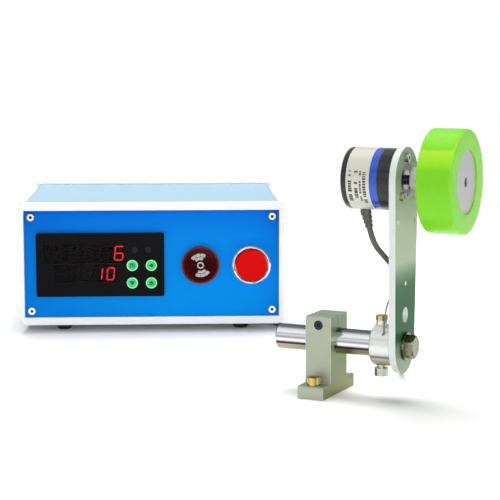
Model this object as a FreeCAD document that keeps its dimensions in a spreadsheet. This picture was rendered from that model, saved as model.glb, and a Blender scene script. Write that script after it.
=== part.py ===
import FreeCAD, Part
import math
import os
import re
import Sketcher

Vector = FreeCAD.Vector
Rotation = FreeCAD.Rotation

# Driving dimensions in millimetres and degrees
case_sizes = {
    "box_tall": 92, "box_deep": 180, "box_left": -211, "box_front": 211.4,
    "seat_gap": 0.05, "running_gap": 0.08, "free_gap": 0.3, "overrun": 1,
    "corner_share": 0.3,
    "frame_deep": 11, "frame_side": 3.4, "frame_top": 5.3, "frame_bottom": 5.8,
    "frame_round": 5, "frame_ledge": 3, "bead_radius": 1.6,
    "cover_inset": 1.2, "cover_wall": 1.5, "cover_lap": 5,
    "tray_split": 8, "tray_lip": 12, "tray_boss": 4, "tray_boss_tall": 5,
    "panel_recess": 2.5, "panel_wall": 2, "panel_gap": 0.2,
    "panel_screw_side": 8.6, "panel_screw_low": 10.6, "panel_screw_high": 81.6,
    "screw_head": 2.7, "screw_head_tall": 1.8, "screw_shank": 1.5, "screw_long": 8,
    "screw_key": 1.25, "screw_key_deep": 1.1, "panel_boss": 3.6,
    "foot_tall": 6, "foot_top": 8.4, "foot_low": 5.4, "foot_edge": 0.8, "foot_inset": 31.8,
    "foot_back": 20, "foot_pocket": 3.2, "foot_pocket_tall": 3,
}
front_sizes = {
    "meter_wide": 96, "meter_tall": 48, "meter_left": 12.4, "meter_low": 21.7,
    "bezel_thick": 3, "bezel_round": 1.2, "meter_lip": 2, "meter_deep": 80, "meter_wall": 1.5,
    "upper_start": 5.6, "upper_end": 29.4, "upper_low": 46.4, "upper_tall": 14.9,
    "lower_start": 13, "lower_end": 35.5, "lower_low": 32.6, "lower_tall": 12.4,
    "pane_sink": 0.8, "pane_thick": 1.2, "display_front": 2.2, "board_front": 8, "board_thick": 1.6,
    "board_margin": 3, "terminal_wide": 84, "terminal_tall": 30, "terminal_deep": 9, "terminal_posts": 10,
    "terminal_hole": 2.2, "terminal_floor": 2, "clip_long": 28, "clip_tall": 12, "clip_thick": 2.8,
    "lamp_radius": 3, "lamp_end": 22.1, "lamp_pitch": 10, "lamp_low": 57, "lamp_proud": 0.8,
    "lamp_flat_share": 0.8,
    "key_radius": 4.25, "key_end": 24, "key_pitch": 14.3, "key_low": 31.9, "key_row": 13.3,
    "key_proud": 0.7, "key_flange": 4.9, "key_flange_thick": 0.8, "key_stem": 1.5, "key_travel": 0.6,
    "operator_low": 45, "operator_hole": 11.1, "barrel_radius": 10.9,
    "operator_zone": 90.1, "buzzer_share": 0.303, "button_share": 0.728,
    "buzzer_flange": 14.25, "buzzer_proud": 4.2, "buzzer_deep": 34,
    "lens_radius": 12.9, "lens_sink": 3, "lens_dome": 1.2,
    "lens_inner_share": 0.55, "lens_outer_share": 0.85, "lens_rise_share": 0.16,
    "nut_flats": 15, "nut_thick": 4.5,
    "collar_flange": 14.6, "collar_proud": 6.5, "collar_cup": 12.5,
    "collar_rim": 0.7, "collar_slope_share": 1.6,
    "collar_deep": 28, "cup_floor": 0.5, "cap_radius": 11.9, "cap_thick": 1.9,
    "cap_proud": 0.4, "cap_edge": 0.6, "plunger_radius": 8, "plunger_deep": 22, "button_travel": 4,
    "stem_radius": 2.5, "stem_long": 10, "spring_outer": 6.5, "spring_inner": 5.2,
    "contact_wide": 28, "contact_tall": 26, "contact_deep": 24,
}
rear_sizes = {
    "inlet_side": 38, "inlet_low": 45, "inlet_wide": 27, "inlet_tall": 20, "inlet_flange": 2.5,
    "inlet_deep": 24, "inlet_wall": 2, "inlet_proud": 3, "blade_wide": 2, "blade_tall": 4,
    "blade_long": 14, "blade_pitch": 7, "switch_side": 78, "switch_wide": 13, "switch_tall": 19,
    "switch_flange": 1.6, "switch_proud": 2, "switch_wall": 1.2, "switch_deep": 18,
    "rocker_high": 7.6, "rocker_face": 4.5, "rocker_sink": 1.5, "rocker_axle": 1.2, "axle_deep": 4,
    "rocker_tilt": 8, "rocker_tip_share": 0.83, "rocker_flat_share": 0.4,
    "socket_side": 150, "socket_flange": 10.5, "socket_radius": 8, "socket_bore": 6.3,
    "socket_proud": 9, "socket_flange_thick": 2, "socket_deep": 14, "socket_pin": 0.6,
    "socket_pin_ring": 3.2, "socket_pin_long": 6, "socket_pins": 4,
}
stand_sizes = {
    "kit_yaw": 28.21, "shaft_high": 33.5,
    "block_wide": 17, "base_deep": 51, "base_thick": 8, "upright_deep": 26.5, "block_tall": 50,
    "block_edge": 0.8, "slit_wide": 2, "clamp_high": 44.6, "clamp_head": 2.75, "clamp_head_tall": 3,
    "clamp_shank": 1.5, "clamp_key": 1.25, "clamp_pocket": 3.6,
    "base_screw_out": 19.4, "base_screw_head": 4.25, "base_screw_head_tall": 5, "base_screw_shank": 2.5,
    "base_screw_key": 2, "base_screw_tip": 0.4,
    "rod_radius": 8, "rod_left": -32, "rod_edge": 0.8, "journal_radius": 6,
    "arm_left": 48, "arm_thick": 4.2, "pivot_end": 16.75, "head_end": 20, "arm_long": 102.5,
    "bush_outer": 8, "nose_radius": 10,
    "hub_left": 33, "hub_radius": 13, "hub_end": 0.5, "hub_edge": 0.8, "hub_cavity": 6.6,
    "cavity_radius": 11.5, "lock_screw_left": 37, "lock_shank": 2.5, "lock_head": 4.25,
    "lock_head_tall": 5, "lock_show": 1.6, "lock_key": 2, "top_shank": 2, "top_head": 3.7,
    "top_head_tall": 2.8, "top_boss": 3.5, "top_boss_tall": 2.4, "top_slot": 0.9, "top_slot_deep": 1.2,
    "bolt_flats": 6.5, "bolt_head_tall": 5.3, "bolt_edge_share": 0.85, "bolt_crown_share": 0.95,
    "bolt_shank": 4, "bolt_deep": 12,
    "washer_outer": 8.6, "washer_thick": 1.6,
    "encoder_radius": 19, "encoder_left": 15.7, "cap_long": 4, "label_long": 15, "flange_long": 8.5,
    "skin_thick": 0.4, "cover_shell": 1.2, "cap_round": 1.6, "nose_long": 4,
    "bearing_outer": 6, "bearing_wide": 4, "shaft_radius": 3, "shaft_left": 25,
    "screw_ring": 14, "screw_first": 102, "screw_count": 3, "mount_head": 2.75,
    "mount_head_tall": 2.6, "mount_shank": 1.5, "mount_long": 10, "mount_key": 1.25,
    "small_hole": 1.3, "small_hole_y": 12, "small_hole_up": 12, "tapped_radius": 2,
    "tapped_ring": 29, "tapped_turn": 30, "sight_hole": 4.75, "sight_up": 19.6,
    "board_left": 21, "code_radius": 12, "code_thick": 0.6, "code_left": 29,
    "wheel_radius": 31.83, "wheel_wide": 22, "wheel_left": 68.5, "wheel_disc": 19.4,
    "wheel_recess": 1, "tyre_edge": 0.8, "neck_radius": 7.75, "neck_left": 56.5,
    "set_screw_left": 61.5, "set_screw_radius": 1.5, "wheel_bore_show": 2,
    "pin_radius": 1.5, "pin_up": 39, "pin_long": 6,
    "boot_left": 25.4, "boot_tilt": 14, "boot_top": 3.3, "boot_low": 2.4, "boot_long": 11.4,
    "boot_spigot": 3, "boot_collar": 3.4, "boot_groove": 0.5, "boot_rings": 3,
    "spring_wire": 0.5, "spring_radius": 9.75, "spring_pitch": 1.5, "spring_turns": 3,
    "spring_lean_share": 0.45,
}
cord_sizes = {
    "cord_radius": 1.75, "cord_lift": 1.75, "coil_side": -75, "coil_back": 487, "coil_outer": 24,
    "coil_pitch": 4, "coil_rise": 4, "coil_turns_low": 2.5, "coil_turns_high": 2,
    "plug_radius": 7.25, "plug_ring_long": 14, "plug_body_long": 12, "plug_step": 0.6,
    "plug_neck": 3.2, "plug_neck_long": 12, "plug_nose_long": 12, "plug_nose_bore": 4.2,
    "bend_share": 0.45,
}
# Worked out from the sizes above; a start is kept from the meter's left end, an end from its right
linked_sizes = {
    "upper_left": "=meter_left + upper_start",
    "upper_wide": "=meter_wide - upper_start - upper_end",
    "lower_left": "=meter_left + lower_start",
    "lower_wide": "=meter_wide - lower_start - lower_end",
    "key_left": "=meter_left + meter_wide - key_end",
    "lamp_left": "=meter_left + meter_wide - lamp_end",
    "box_wide": "=meter_left + meter_wide + operator_zone",
    "buzzer_side": "=meter_left + meter_wide + operator_zone * buzzer_share",
    "button_side": "=meter_left + meter_wide + operator_zone * button_share",
}

doc = FreeCAD.newDocument("cable_length_counter")
sheet = doc.addObject("Spreadsheet::Sheet", "sizes")
cells = {}
for group in (case_sizes, front_sizes, rear_sizes, stand_sizes, cord_sizes, linked_sizes):
    cells.update(group)
for row, (name, number) in enumerate(cells.items(), 1):
    sheet.set(f"A{row}", name)
    sheet.set(f"B{row}", str(number))
    sheet.setAlias(f"B{row}", name)
doc.recompute()

turns = {
    "z": Rotation(),
    "down": Rotation(Vector(1, 0, 0), 180),
    "x": Rotation(Vector(0, 1, 0), 90),
    "left": Rotation(Vector(0, 1, 0), -90),
    "y": Rotation(Vector(1, 0, 0), -90),
    "front": Rotation(Vector(1, 0, 0), 90),
    "boot": Rotation(Vector(0, 1, 0), 180 - cells["boot_tilt"]),
}
planes = {"z": "XY_Plane", "y": "XZ_Plane", "x": "YZ_Plane"}


# Formulas in the names of the sheet's cells
def formula(text):
    return re.sub(r"[a-z_]+", lambda word: "sizes." + word[0] if word[0] in cells else word[0], text)


def value(text):
    sheet.set("D1", "=" + text)
    sheet.recompute()
    number = float(sheet.get("D1"))
    sheet.clear("D1")
    return number


def bind(piece, **fields):
    for field, text in fields.items():
        piece.setExpression(field, formula(text))
    return piece


def place(piece, at, axis="z"):
    piece.Placement = FreeCAD.Placement(Vector(), turns[axis])
    for letter, text in zip("xyz", at):
        piece.setExpression("Placement.Base." + letter, formula(text))
    return piece


# Plain solids
def block(long, deep, tall, at):
    piece = doc.addObject("Part::Box", "block")
    return place(bind(piece, Length=long, Width=deep, Height=tall), at)


def rod(radius, long, at, axis="z"):
    piece = doc.addObject("Part::Cylinder", "rod")
    return place(bind(piece, Radius=radius, Height=long), at, axis)


def hexagon(radius, long, at, axis="z"):
    piece = doc.addObject("Part::Prism", "hexagon")
    piece.Polygon = 6
    return place(bind(piece, Circumradius=radius, Height=long), at, axis)


def gather(pieces):
    group = doc.addObject("Part::Compound", "group")
    group.Links = pieces
    return group


def fuse(*pieces):
    joined = doc.addObject("Part::MultiFuse", "joined")
    joined.Shapes = list(pieces)
    joined.Refine = True
    return joined


def cut(base, *tools):
    piece = doc.addObject("Part::Cut", "cut")
    piece.Base = base
    piece.Tool = tools[0] if len(tools) == 1 else fuse(*tools)
    return piece


def common(base, tool):
    piece = doc.addObject("Part::Common", "common")
    piece.Base = base
    piece.Tool = tool
    return piece


# Sketched solids
def new_sketch(axis):
    body = doc.addObject("PartDesign::Body", "body")
    sketch = body.newObject("Sketcher::SketchObject", "sketch")
    origin = [plane for plane in body.Origin.OriginFeatures if plane.Role == planes[axis]][0]
    sketch.AttachmentSupport = [(origin, "")]
    sketch.MapMode = "FlatFace"
    return body, sketch


def fix(sketch, kind, *target):
    text = target[-1]
    index = sketch.addConstraint(Sketcher.Constraint(kind, *target[:-1], value(text)))
    sketch.setExpression(f"Constraints[{index}]", formula(text))


def outline(sketch, points):
    corners = [Vector(value(across), value(up), 0) for across, up in points]
    first = sketch.GeometryCount
    count = len(points)
    for index, corner in enumerate(corners):
        sketch.addGeometry(Part.LineSegment(corner, corners[(index + 1) % count]), False)
    for index, (across, up) in enumerate(points):
        after = first + (index + 1) % count
        sketch.addConstraint(Sketcher.Constraint("Coincident", first + index, 2, after, 1))
        fix(sketch, "DistanceX", -1, 1, first + index, 1, across)
        fix(sketch, "DistanceY", -1, 1, first + index, 1, up)


def slab(axis, points, thick, at):
    body, sketch = new_sketch(axis)
    outline(sketch, points)
    pad = body.newObject("PartDesign::Pad", "pad")
    pad.Profile = sketch
    pad.Reversed = axis == "y"
    bind(pad, Length=thick)
    return place(body, at)


def rectangle(left, low, right, high):
    return [(left, low), (right, low), (right, high), (left, high)]


def turned(points, at, axis="z"):
    body, sketch = new_sketch("y")
    outline(sketch, points)
    spun = body.newObject("PartDesign::Revolution", "spun")
    spun.Profile = sketch
    spun.ReferenceAxis = (sketch, ["V_Axis"])
    spun.Angle = 360
    return place(body, at, axis)


def along(direction):
    def parallel(edge):
        return edge.Curve.TypeId == "Part::GeomLine" and abs(edge.tangentAt(0).dot(direction)) > 0.99
    return parallel


def rounded(body, radius, wanted):
    doc.recompute()
    base = body.Tip
    names = [f"Edge{number}" for number, edge in enumerate(base.Shape.Edges, 1) if wanted(edge)]
    fillet = body.newObject("PartDesign::Fillet", "fillet")
    fillet.Base = (base, names)
    body.Tip = fillet
    bind(fillet, Radius=radius)
    return body


# Sub-parts, each labelled and placed with the group that it belongs to
subparts = []


def subpart(label, group, *pieces):
    node = gather(list(pieces))
    node.Label = label
    if group == "case":
        place(node, ("box_left", "box_front", "foot_tall"))
    if group == "rear":
        place(node, ("box_left + box_wide", "box_front + box_deep", "foot_tall"))
        node.Placement.Rotation = Rotation(Vector(0, 0, 1), 180)
    if group == "stand":
        node.Placement = FreeCAD.Placement(Vector(), Rotation(Vector(0, 0, -1), 1))
        node.setExpression("Placement.Rotation.Angle", formula("kit_yaw"))
    subparts.append(node)


def turned_round(piece):
    other = gather([piece])
    place(other, ("box_wide", "box_deep", "0"))
    other.Placement.Rotation = Rotation(Vector(0, 0, 1), 180)
    return other


def placed_feature(label, shape):
    node = doc.addObject("Part::Feature", label)
    node.Label = label
    node.Shape = shape
    subparts.append(node)
    return node


# Case
def case_ring(thick, start, grow, wall):
    low = f"(cover_inset - {grow})"
    outer = slab("y", rectangle(low, low, f"box_wide - {low}", f"box_tall - {low}"), thick, ("0", start, "0"))
    rounded(outer, f"frame_round - {low}", along(Vector(0, 1, 0)))
    inner_low = f"(cover_inset + {wall} + {grow})"
    right = f"box_wide - {inner_low}"
    inner = slab("y", rectangle(inner_low, inner_low, right, f"box_tall - {inner_low}"),
                 f"{thick} + 2 * overrun", ("0", f"{start} - overrun", "0"))
    rounded(inner, f"frame_round - {inner_low}", along(Vector(0, 1, 0)))
    return cut(outer, inner)


panel_screw_places = [
    (side, high)
    for side in ("panel_screw_side", "box_wide - panel_screw_side")
    for high in ("panel_screw_low", "panel_screw_high")
]


def end_frame():
    outer = slab("y", rectangle("0", "0", "box_wide", "box_tall"), "frame_deep", ("0", "0", "0"))
    rounded(outer, "frame_round", along(Vector(0, 1, 0)))
    beads = [
        rod("bead_radius", "frame_deep", (side, "0", "box_tall - frame_round * corner_share"), "y")
        for side in ("frame_round * corner_share", "box_wide - frame_round * corner_share")
    ]
    shoulder = "(panel_recess + panel_wall)"
    opening = block("box_wide - 2 * frame_side", f"{shoulder} + overrun",
                    "box_tall - frame_top - frame_bottom", ("frame_side", "-overrun", "frame_bottom"))
    inside = block("box_wide - 2 * frame_side - 2 * frame_ledge", "frame_deep + 2 * overrun",
                   "box_tall - frame_top - frame_bottom - 2 * frame_ledge",
                   ("frame_side + frame_ledge", "-overrun", "frame_bottom + frame_ledge"))
    bosses = [
        rod("panel_boss", f"frame_deep - {shoulder}", (side, shoulder, high), "y")
        for side, high in panel_screw_places
    ]
    holes = [
        rod("screw_shank + seat_gap", "frame_deep + overrun", (side, "0", high), "y")
        for side, high in panel_screw_places
    ]
    ring = cut(fuse(outer, *beads), opening, inside)
    groove = case_ring("cover_lap + overrun", "frame_deep - cover_lap", "seat_gap", "cover_wall")
    return cut(fuse(ring, *bosses), groove, *holes)


def pan_screw(at, axis):
    head = rod("screw_head", "screw_head_tall", at, axis)
    side, start, high = at
    if axis == "y":
        shank_at = (side, f"{start} + screw_head_tall", high)
        key_at = (side, f"{start} - overrun", high)
    else:
        shank_at = (side, start, f"{high} + screw_head_tall")
        key_at = (side, start, f"{high} - overrun")
    shank = rod("screw_shank", "screw_long", shank_at, axis)
    key = hexagon("screw_key", "screw_key_deep + overrun", key_at, axis)
    return cut(fuse(head, shank), key)


def build_case():
    subpart("end_frames", "case", end_frame(), turned_round(end_frame()))
    long = "box_deep - 2 * frame_deep + 2 * cover_lap - 2 * seat_gap"
    start = "frame_deep - cover_lap + seat_gap"
    size = ("box_wide", "box_deep", "box_tall")
    above = block(*size, ("0", "0", "tray_split + seat_gap"))
    subpart("case_cover", "case", common(case_ring(long, start, "0", "cover_wall"), above))
    below = block("box_wide", "box_deep", "tray_split", ("0", "0", "0"))
    pan = common(case_ring(long, start, "0", "cover_wall"), below)
    floor = "(cover_inset + cover_wall)"
    lips = [
        block("cover_wall", "box_deep - 2 * frame_deep - 2 * seat_gap", f"tray_lip + {floor}",
              (side, "frame_deep + seat_gap", "cover_inset"))
        for side in (f"{floor} + seat_gap", f"box_wide - {floor} - seat_gap - cover_wall")
    ]
    joining = [
        block("frame_round", "box_deep - 2 * frame_deep - 2 * seat_gap", "cover_wall",
              (side, "frame_deep + seat_gap", "cover_inset"))
        for side in ("frame_round", "box_wide - 2 * frame_round")
    ]
    feet = [
        (side, back)
        for side in ("foot_inset", "box_wide - foot_inset")
        for back in ("foot_back", "box_deep - foot_back")
    ]
    bosses = [rod("tray_boss", "tray_boss_tall + cover_wall", (*foot, "cover_inset")) for foot in feet]
    holes = [
        rod("screw_shank + seat_gap", "tray_boss_tall + 2 * cover_wall + 2 * overrun",
            (*foot, "cover_inset - overrun"))
        for foot in feet
    ]
    subpart("case_tray", "case", cut(fuse(pan, *lips, *joining, *bosses), *holes))
    rise = "(foot_tall + cover_inset)"
    rubber = [
        cut(turned([("0", "0"), ("foot_low - foot_edge", "0"), ("foot_low", "foot_edge"),
                    ("foot_top", rise), ("0", rise)], (*foot, "-foot_tall")),
            rod("foot_pocket", "foot_pocket_tall + overrun", (*foot, "-foot_tall - overrun")),
            rod("screw_shank + seat_gap", f"{rise} + overrun", (*foot, "-foot_tall")))
        for foot in feet
    ]
    subpart("rubber_feet", "case", *rubber)
    return [pan_screw((*foot, "foot_pocket_tall - screw_head_tall - foot_tall"), "z") for foot in feet]


def blank_panel():
    return block("box_wide - 2 * frame_side - 2 * panel_gap", "panel_wall",
                 "box_tall - frame_top - frame_bottom - 2 * panel_gap",
                 ("frame_side + panel_gap", "panel_recess", "frame_bottom + panel_gap"))


def panel_holes():
    return [
        rod("screw_shank + seat_gap", "panel_wall + 2 * overrun", (side, "panel_recess - overrun", high), "y")
        for side, high in panel_screw_places
    ]


def build_panels(foot_screws):
    meter_hole = block("meter_wide - 2 * meter_lip", "panel_wall + 2 * overrun",
                       "meter_tall - 2 * meter_lip",
                       ("meter_left + meter_lip", "panel_recess - overrun", "meter_low + meter_lip"))
    operators = [
        rod("operator_hole", "panel_wall + 2 * overrun",
            (side, "panel_recess - overrun", "operator_low"), "y")
        for side in ("buzzer_side", "button_side")
    ]
    subpart("front_panel", "case", cut(blank_panel(), meter_hole, *operators, *panel_holes()))
    inlet = block("inlet_wide + 2 * panel_gap", "panel_wall + 2 * overrun", "inlet_tall + 2 * panel_gap",
                  ("inlet_side - inlet_wide / 2 - panel_gap", "panel_recess - overrun",
                   "inlet_low - inlet_tall / 2 - panel_gap"))
    switch = block("switch_wide + 2 * panel_gap", "panel_wall + 2 * overrun", "switch_tall + 2 * panel_gap",
                   ("switch_side - switch_wide / 2 - panel_gap", "panel_recess - overrun",
                    "inlet_low - switch_tall / 2 - panel_gap"))
    socket = rod("socket_radius + panel_gap", "panel_wall + 2 * overrun",
                 ("socket_side", "panel_recess - overrun", "inlet_low"), "y")
    subpart("rear_panel", "rear", cut(blank_panel(), inlet, switch, socket, *panel_holes()))
    front = [
        pan_screw((side, "panel_recess - screw_head_tall", high), "y") for side, high in panel_screw_places
    ]
    rear = [
        turned_round(pan_screw((side, "panel_recess - screw_head_tall", high), "y"))
        for side, high in panel_screw_places
    ]
    subpart("case_screws", "case", *front, *rear, *foot_screws)


# Meter
key_names = {
    "key_menu": ("key_left", "key_low + key_row"),
    "key_shift": ("key_left + key_pitch", "key_low + key_row"),
    "key_down": ("key_left", "key_low"),
    "key_up": ("key_left + key_pitch", "key_low"),
}
lamp_places = ("lamp_left", "lamp_left + lamp_pitch")


def window(front, thick, shrink):
    return [
        block(f"{side}_wide - 2 * {shrink}", thick, f"{side}_tall - 2 * {shrink}",
              (f"{side}_left + {shrink}", front, f"{side}_low + {shrink}"))
        for side in ("upper", "lower")
    ]


def build_meter():
    front = "(panel_recess - bezel_thick)"
    plate = slab("y", rectangle("0", "0", "meter_wide", "meter_tall"), "bezel_thick",
                 ("meter_left", front, "meter_low"))
    rounded(plate, "bezel_round", along(Vector(0, 1, 0)))
    through = "bezel_thick + 2 * overrun"
    lamps = [rod("lamp_radius + seat_gap", through, (side, f"{front} - overrun", "lamp_low"), "y")
             for side in lamp_places]
    keys = [rod("key_radius + running_gap", through, (side, f"{front} - overrun", high), "y")
            for side, high in key_names.values()]
    windows = window(f"{front} - overrun", through, "0")
    subpart("meter_bezel", "case", cut(plate, *windows, *lamps, *keys))
    subpart("meter_window", "case", *window(f"{front} + pane_sink", "pane_thick", "seat_gap"))
    subpart("digit_displays", "case", *window("display_front", "board_front - display_front", "seat_gap"))
    sunk = [
        turned([("0", "0"), ("lamp_radius * lamp_flat_share", "0"), ("lamp_radius", "lamp_proud"),
                ("lamp_radius", f"board_front - {front} + lamp_proud"),
                ("0", f"board_front - {front} + lamp_proud")],
               (side, f"{front} - lamp_proud", "lamp_low"), "y")
        for side in lamp_places
    ]
    subpart("alarm_lamps", "case", *sunk)

    inset = "(meter_lip + panel_gap)"
    shell = block(f"meter_wide - 2 * ({inset})", "meter_deep", f"meter_tall - 2 * ({inset})",
                  (f"meter_left + {inset}", "panel_recess", f"meter_low + {inset}"))
    hollow = block(f"meter_wide - 2 * ({inset} + meter_wall)", "meter_deep - meter_wall + overrun",
                   f"meter_tall - 2 * ({inset} + meter_wall)",
                   (f"meter_left + {inset} + meter_wall", "panel_recess - overrun",
                    f"meter_low + {inset} + meter_wall"))
    back = "panel_recess + meter_deep"
    left = "meter_left + (meter_wide - terminal_wide) / 2"
    strip = block("terminal_wide", "terminal_deep", "terminal_tall",
                  (left, back, "meter_low + (meter_tall - terminal_tall) / 2"))
    posts = int(cells["terminal_posts"])
    wells = [
        rod("terminal_hole", "terminal_deep",
            (f"{left} + terminal_wide * {(post + 0.5) / posts}", f"{back} + terminal_floor",
             f"meter_low + meter_tall / 2 + {row} * terminal_tall / 4"), "y")
        for post in range(posts) for row in (-1, 1)
    ]
    subpart("meter_case", "case", cut(fuse(cut(shell, hollow), strip), *wells))
    board = block("meter_wide - 2 * (meter_lip + board_margin)", "board_thick",
                  "meter_tall - 2 * (meter_lip + board_margin)",
                  ("meter_left + meter_lip + board_margin", "board_front",
                   "meter_low + meter_lip + board_margin"))
    subpart("meter_board", "case", board)
    middle = "meter_low + (meter_tall - clip_tall) / 2"
    clips = [
        block("clip_thick", "clip_long", "clip_tall", (side, "panel_recess + panel_wall", middle))
        for side in (f"meter_left + {inset} - seat_gap - clip_thick",
                     f"meter_left + meter_wide - {inset} + seat_gap")
    ]
    subpart("meter_clips", "case", *clips)
    for label, (side, high) in key_names.items():
        start = f"{front} - key_proud"
        shoulder = "key_proud + bezel_thick + free_gap"
        key = turned([("0", "0"), ("key_radius - pane_sink / 2", "0"), ("key_radius", "pane_sink / 2"),
                      ("key_radius", shoulder), ("key_flange", shoulder),
                      ("key_flange", f"{shoulder} + key_flange_thick"),
                      ("key_stem", f"{shoulder} + key_flange_thick"),
                      ("key_stem", f"board_front - ({start}) - key_travel - free_gap"),
                      ("0", f"board_front - ({start}) - key_travel - free_gap")],
                     (side, start, high), "y")
        subpart(label, "case", key)


# Buzzer and push button
def build_operators():
    start = "panel_recess - buzzer_proud"
    body = turned([("0", "lens_sink"), ("lens_radius + seat_gap", "lens_sink"),
                   ("lens_radius + seat_gap", "lens_dome / 2"),
                   ("buzzer_flange - lens_dome / 2", "lens_dome / 2"),
                   ("buzzer_flange", "lens_dome"), ("buzzer_flange", "buzzer_proud"),
                   ("barrel_radius", "buzzer_proud"), ("barrel_radius", "buzzer_proud + buzzer_deep"),
                   ("0", "buzzer_proud + buzzer_deep")], ("buzzer_side", start, "operator_low"), "y")
    subpart("buzzer_body", "case", body)
    lens = turned([("0", "0"), ("lens_radius * lens_inner_share", "lens_dome * lens_rise_share"),
                   ("lens_radius * lens_outer_share", "lens_dome / 2"),
                   ("lens_radius", "lens_dome"), ("lens_radius", "lens_sink"), ("0", "lens_sink")],
                  ("buzzer_side", start, "operator_low"), "y")
    subpart("buzzer_lens", "case", lens)
    nuts = [
        cut(hexagon("nut_flats", "nut_thick", (side, "panel_recess + panel_wall", "operator_low"), "y"),
            rod("barrel_radius + seat_gap", "nut_thick + 2 * overrun",
                (side, "panel_recess + panel_wall - overrun", "operator_low"), "y"))
        for side in ("buzzer_side", "button_side")
    ]
    subpart("panel_nuts", "case", *nuts)

    top = "panel_recess - collar_proud"
    middle = "(collar_flange + collar_cup) / 2"
    collar = turned([("collar_cup", "collar_rim"), (middle, "0"),
                     ("collar_flange", "collar_rim * collar_slope_share"),
                     ("collar_flange", "collar_proud"), ("barrel_radius", "collar_proud"),
                     ("barrel_radius", "collar_proud + collar_deep"),
                     ("plunger_radius + running_gap", "collar_proud + collar_deep"),
                     ("plunger_radius + running_gap", "collar_proud - cup_floor"),
                     ("collar_cup", "collar_proud - cup_floor")],
                    ("button_side", top, "operator_low"), "y")
    subpart("button_collar", "case", collar)
    plunger_end = "collar_proud + cap_proud + plunger_deep"
    cap = turned([("0", "0"), ("cap_radius - cap_edge", "0"), ("cap_radius", "cap_edge"),
                  ("cap_radius", "cap_thick"), ("plunger_radius", "cap_thick"),
                  ("plunger_radius", plunger_end),
                  ("stem_radius", plunger_end), ("stem_radius", f"{plunger_end} + stem_long"),
                  ("0", f"{plunger_end} + stem_long")],
                 ("button_side", f"{top} - cap_proud", "operator_low"), "y")
    subpart("button_cap", "case", cap)
    block_front = "panel_recess + collar_deep"
    spring_start = "panel_recess + plunger_deep"
    spring = cut(rod("spring_outer", f"{block_front} - ({spring_start})",
                     ("button_side", spring_start, "operator_low"), "y"),
                 rod("spring_inner", f"{block_front} - ({spring_start}) + 2 * overrun",
                     ("button_side", f"{spring_start} - overrun", "operator_low"), "y"))
    subpart("button_spring", "case", spring)
    contact = block("contact_wide", "contact_deep", "contact_tall",
                    ("button_side - contact_wide / 2", block_front, "operator_low - contact_tall / 2"))
    spring_well = rod("spring_outer + free_gap", "button_travel + free_gap + overrun",
                      ("button_side", f"{block_front} - overrun", "operator_low"), "y")
    stem_well = rod("stem_radius + free_gap", "stem_long + button_travel",
                    ("button_side", f"{block_front} - overrun", "operator_low"), "y")
    subpart("button_contact_block", "case", cut(contact, spring_well, stem_well))


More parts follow.
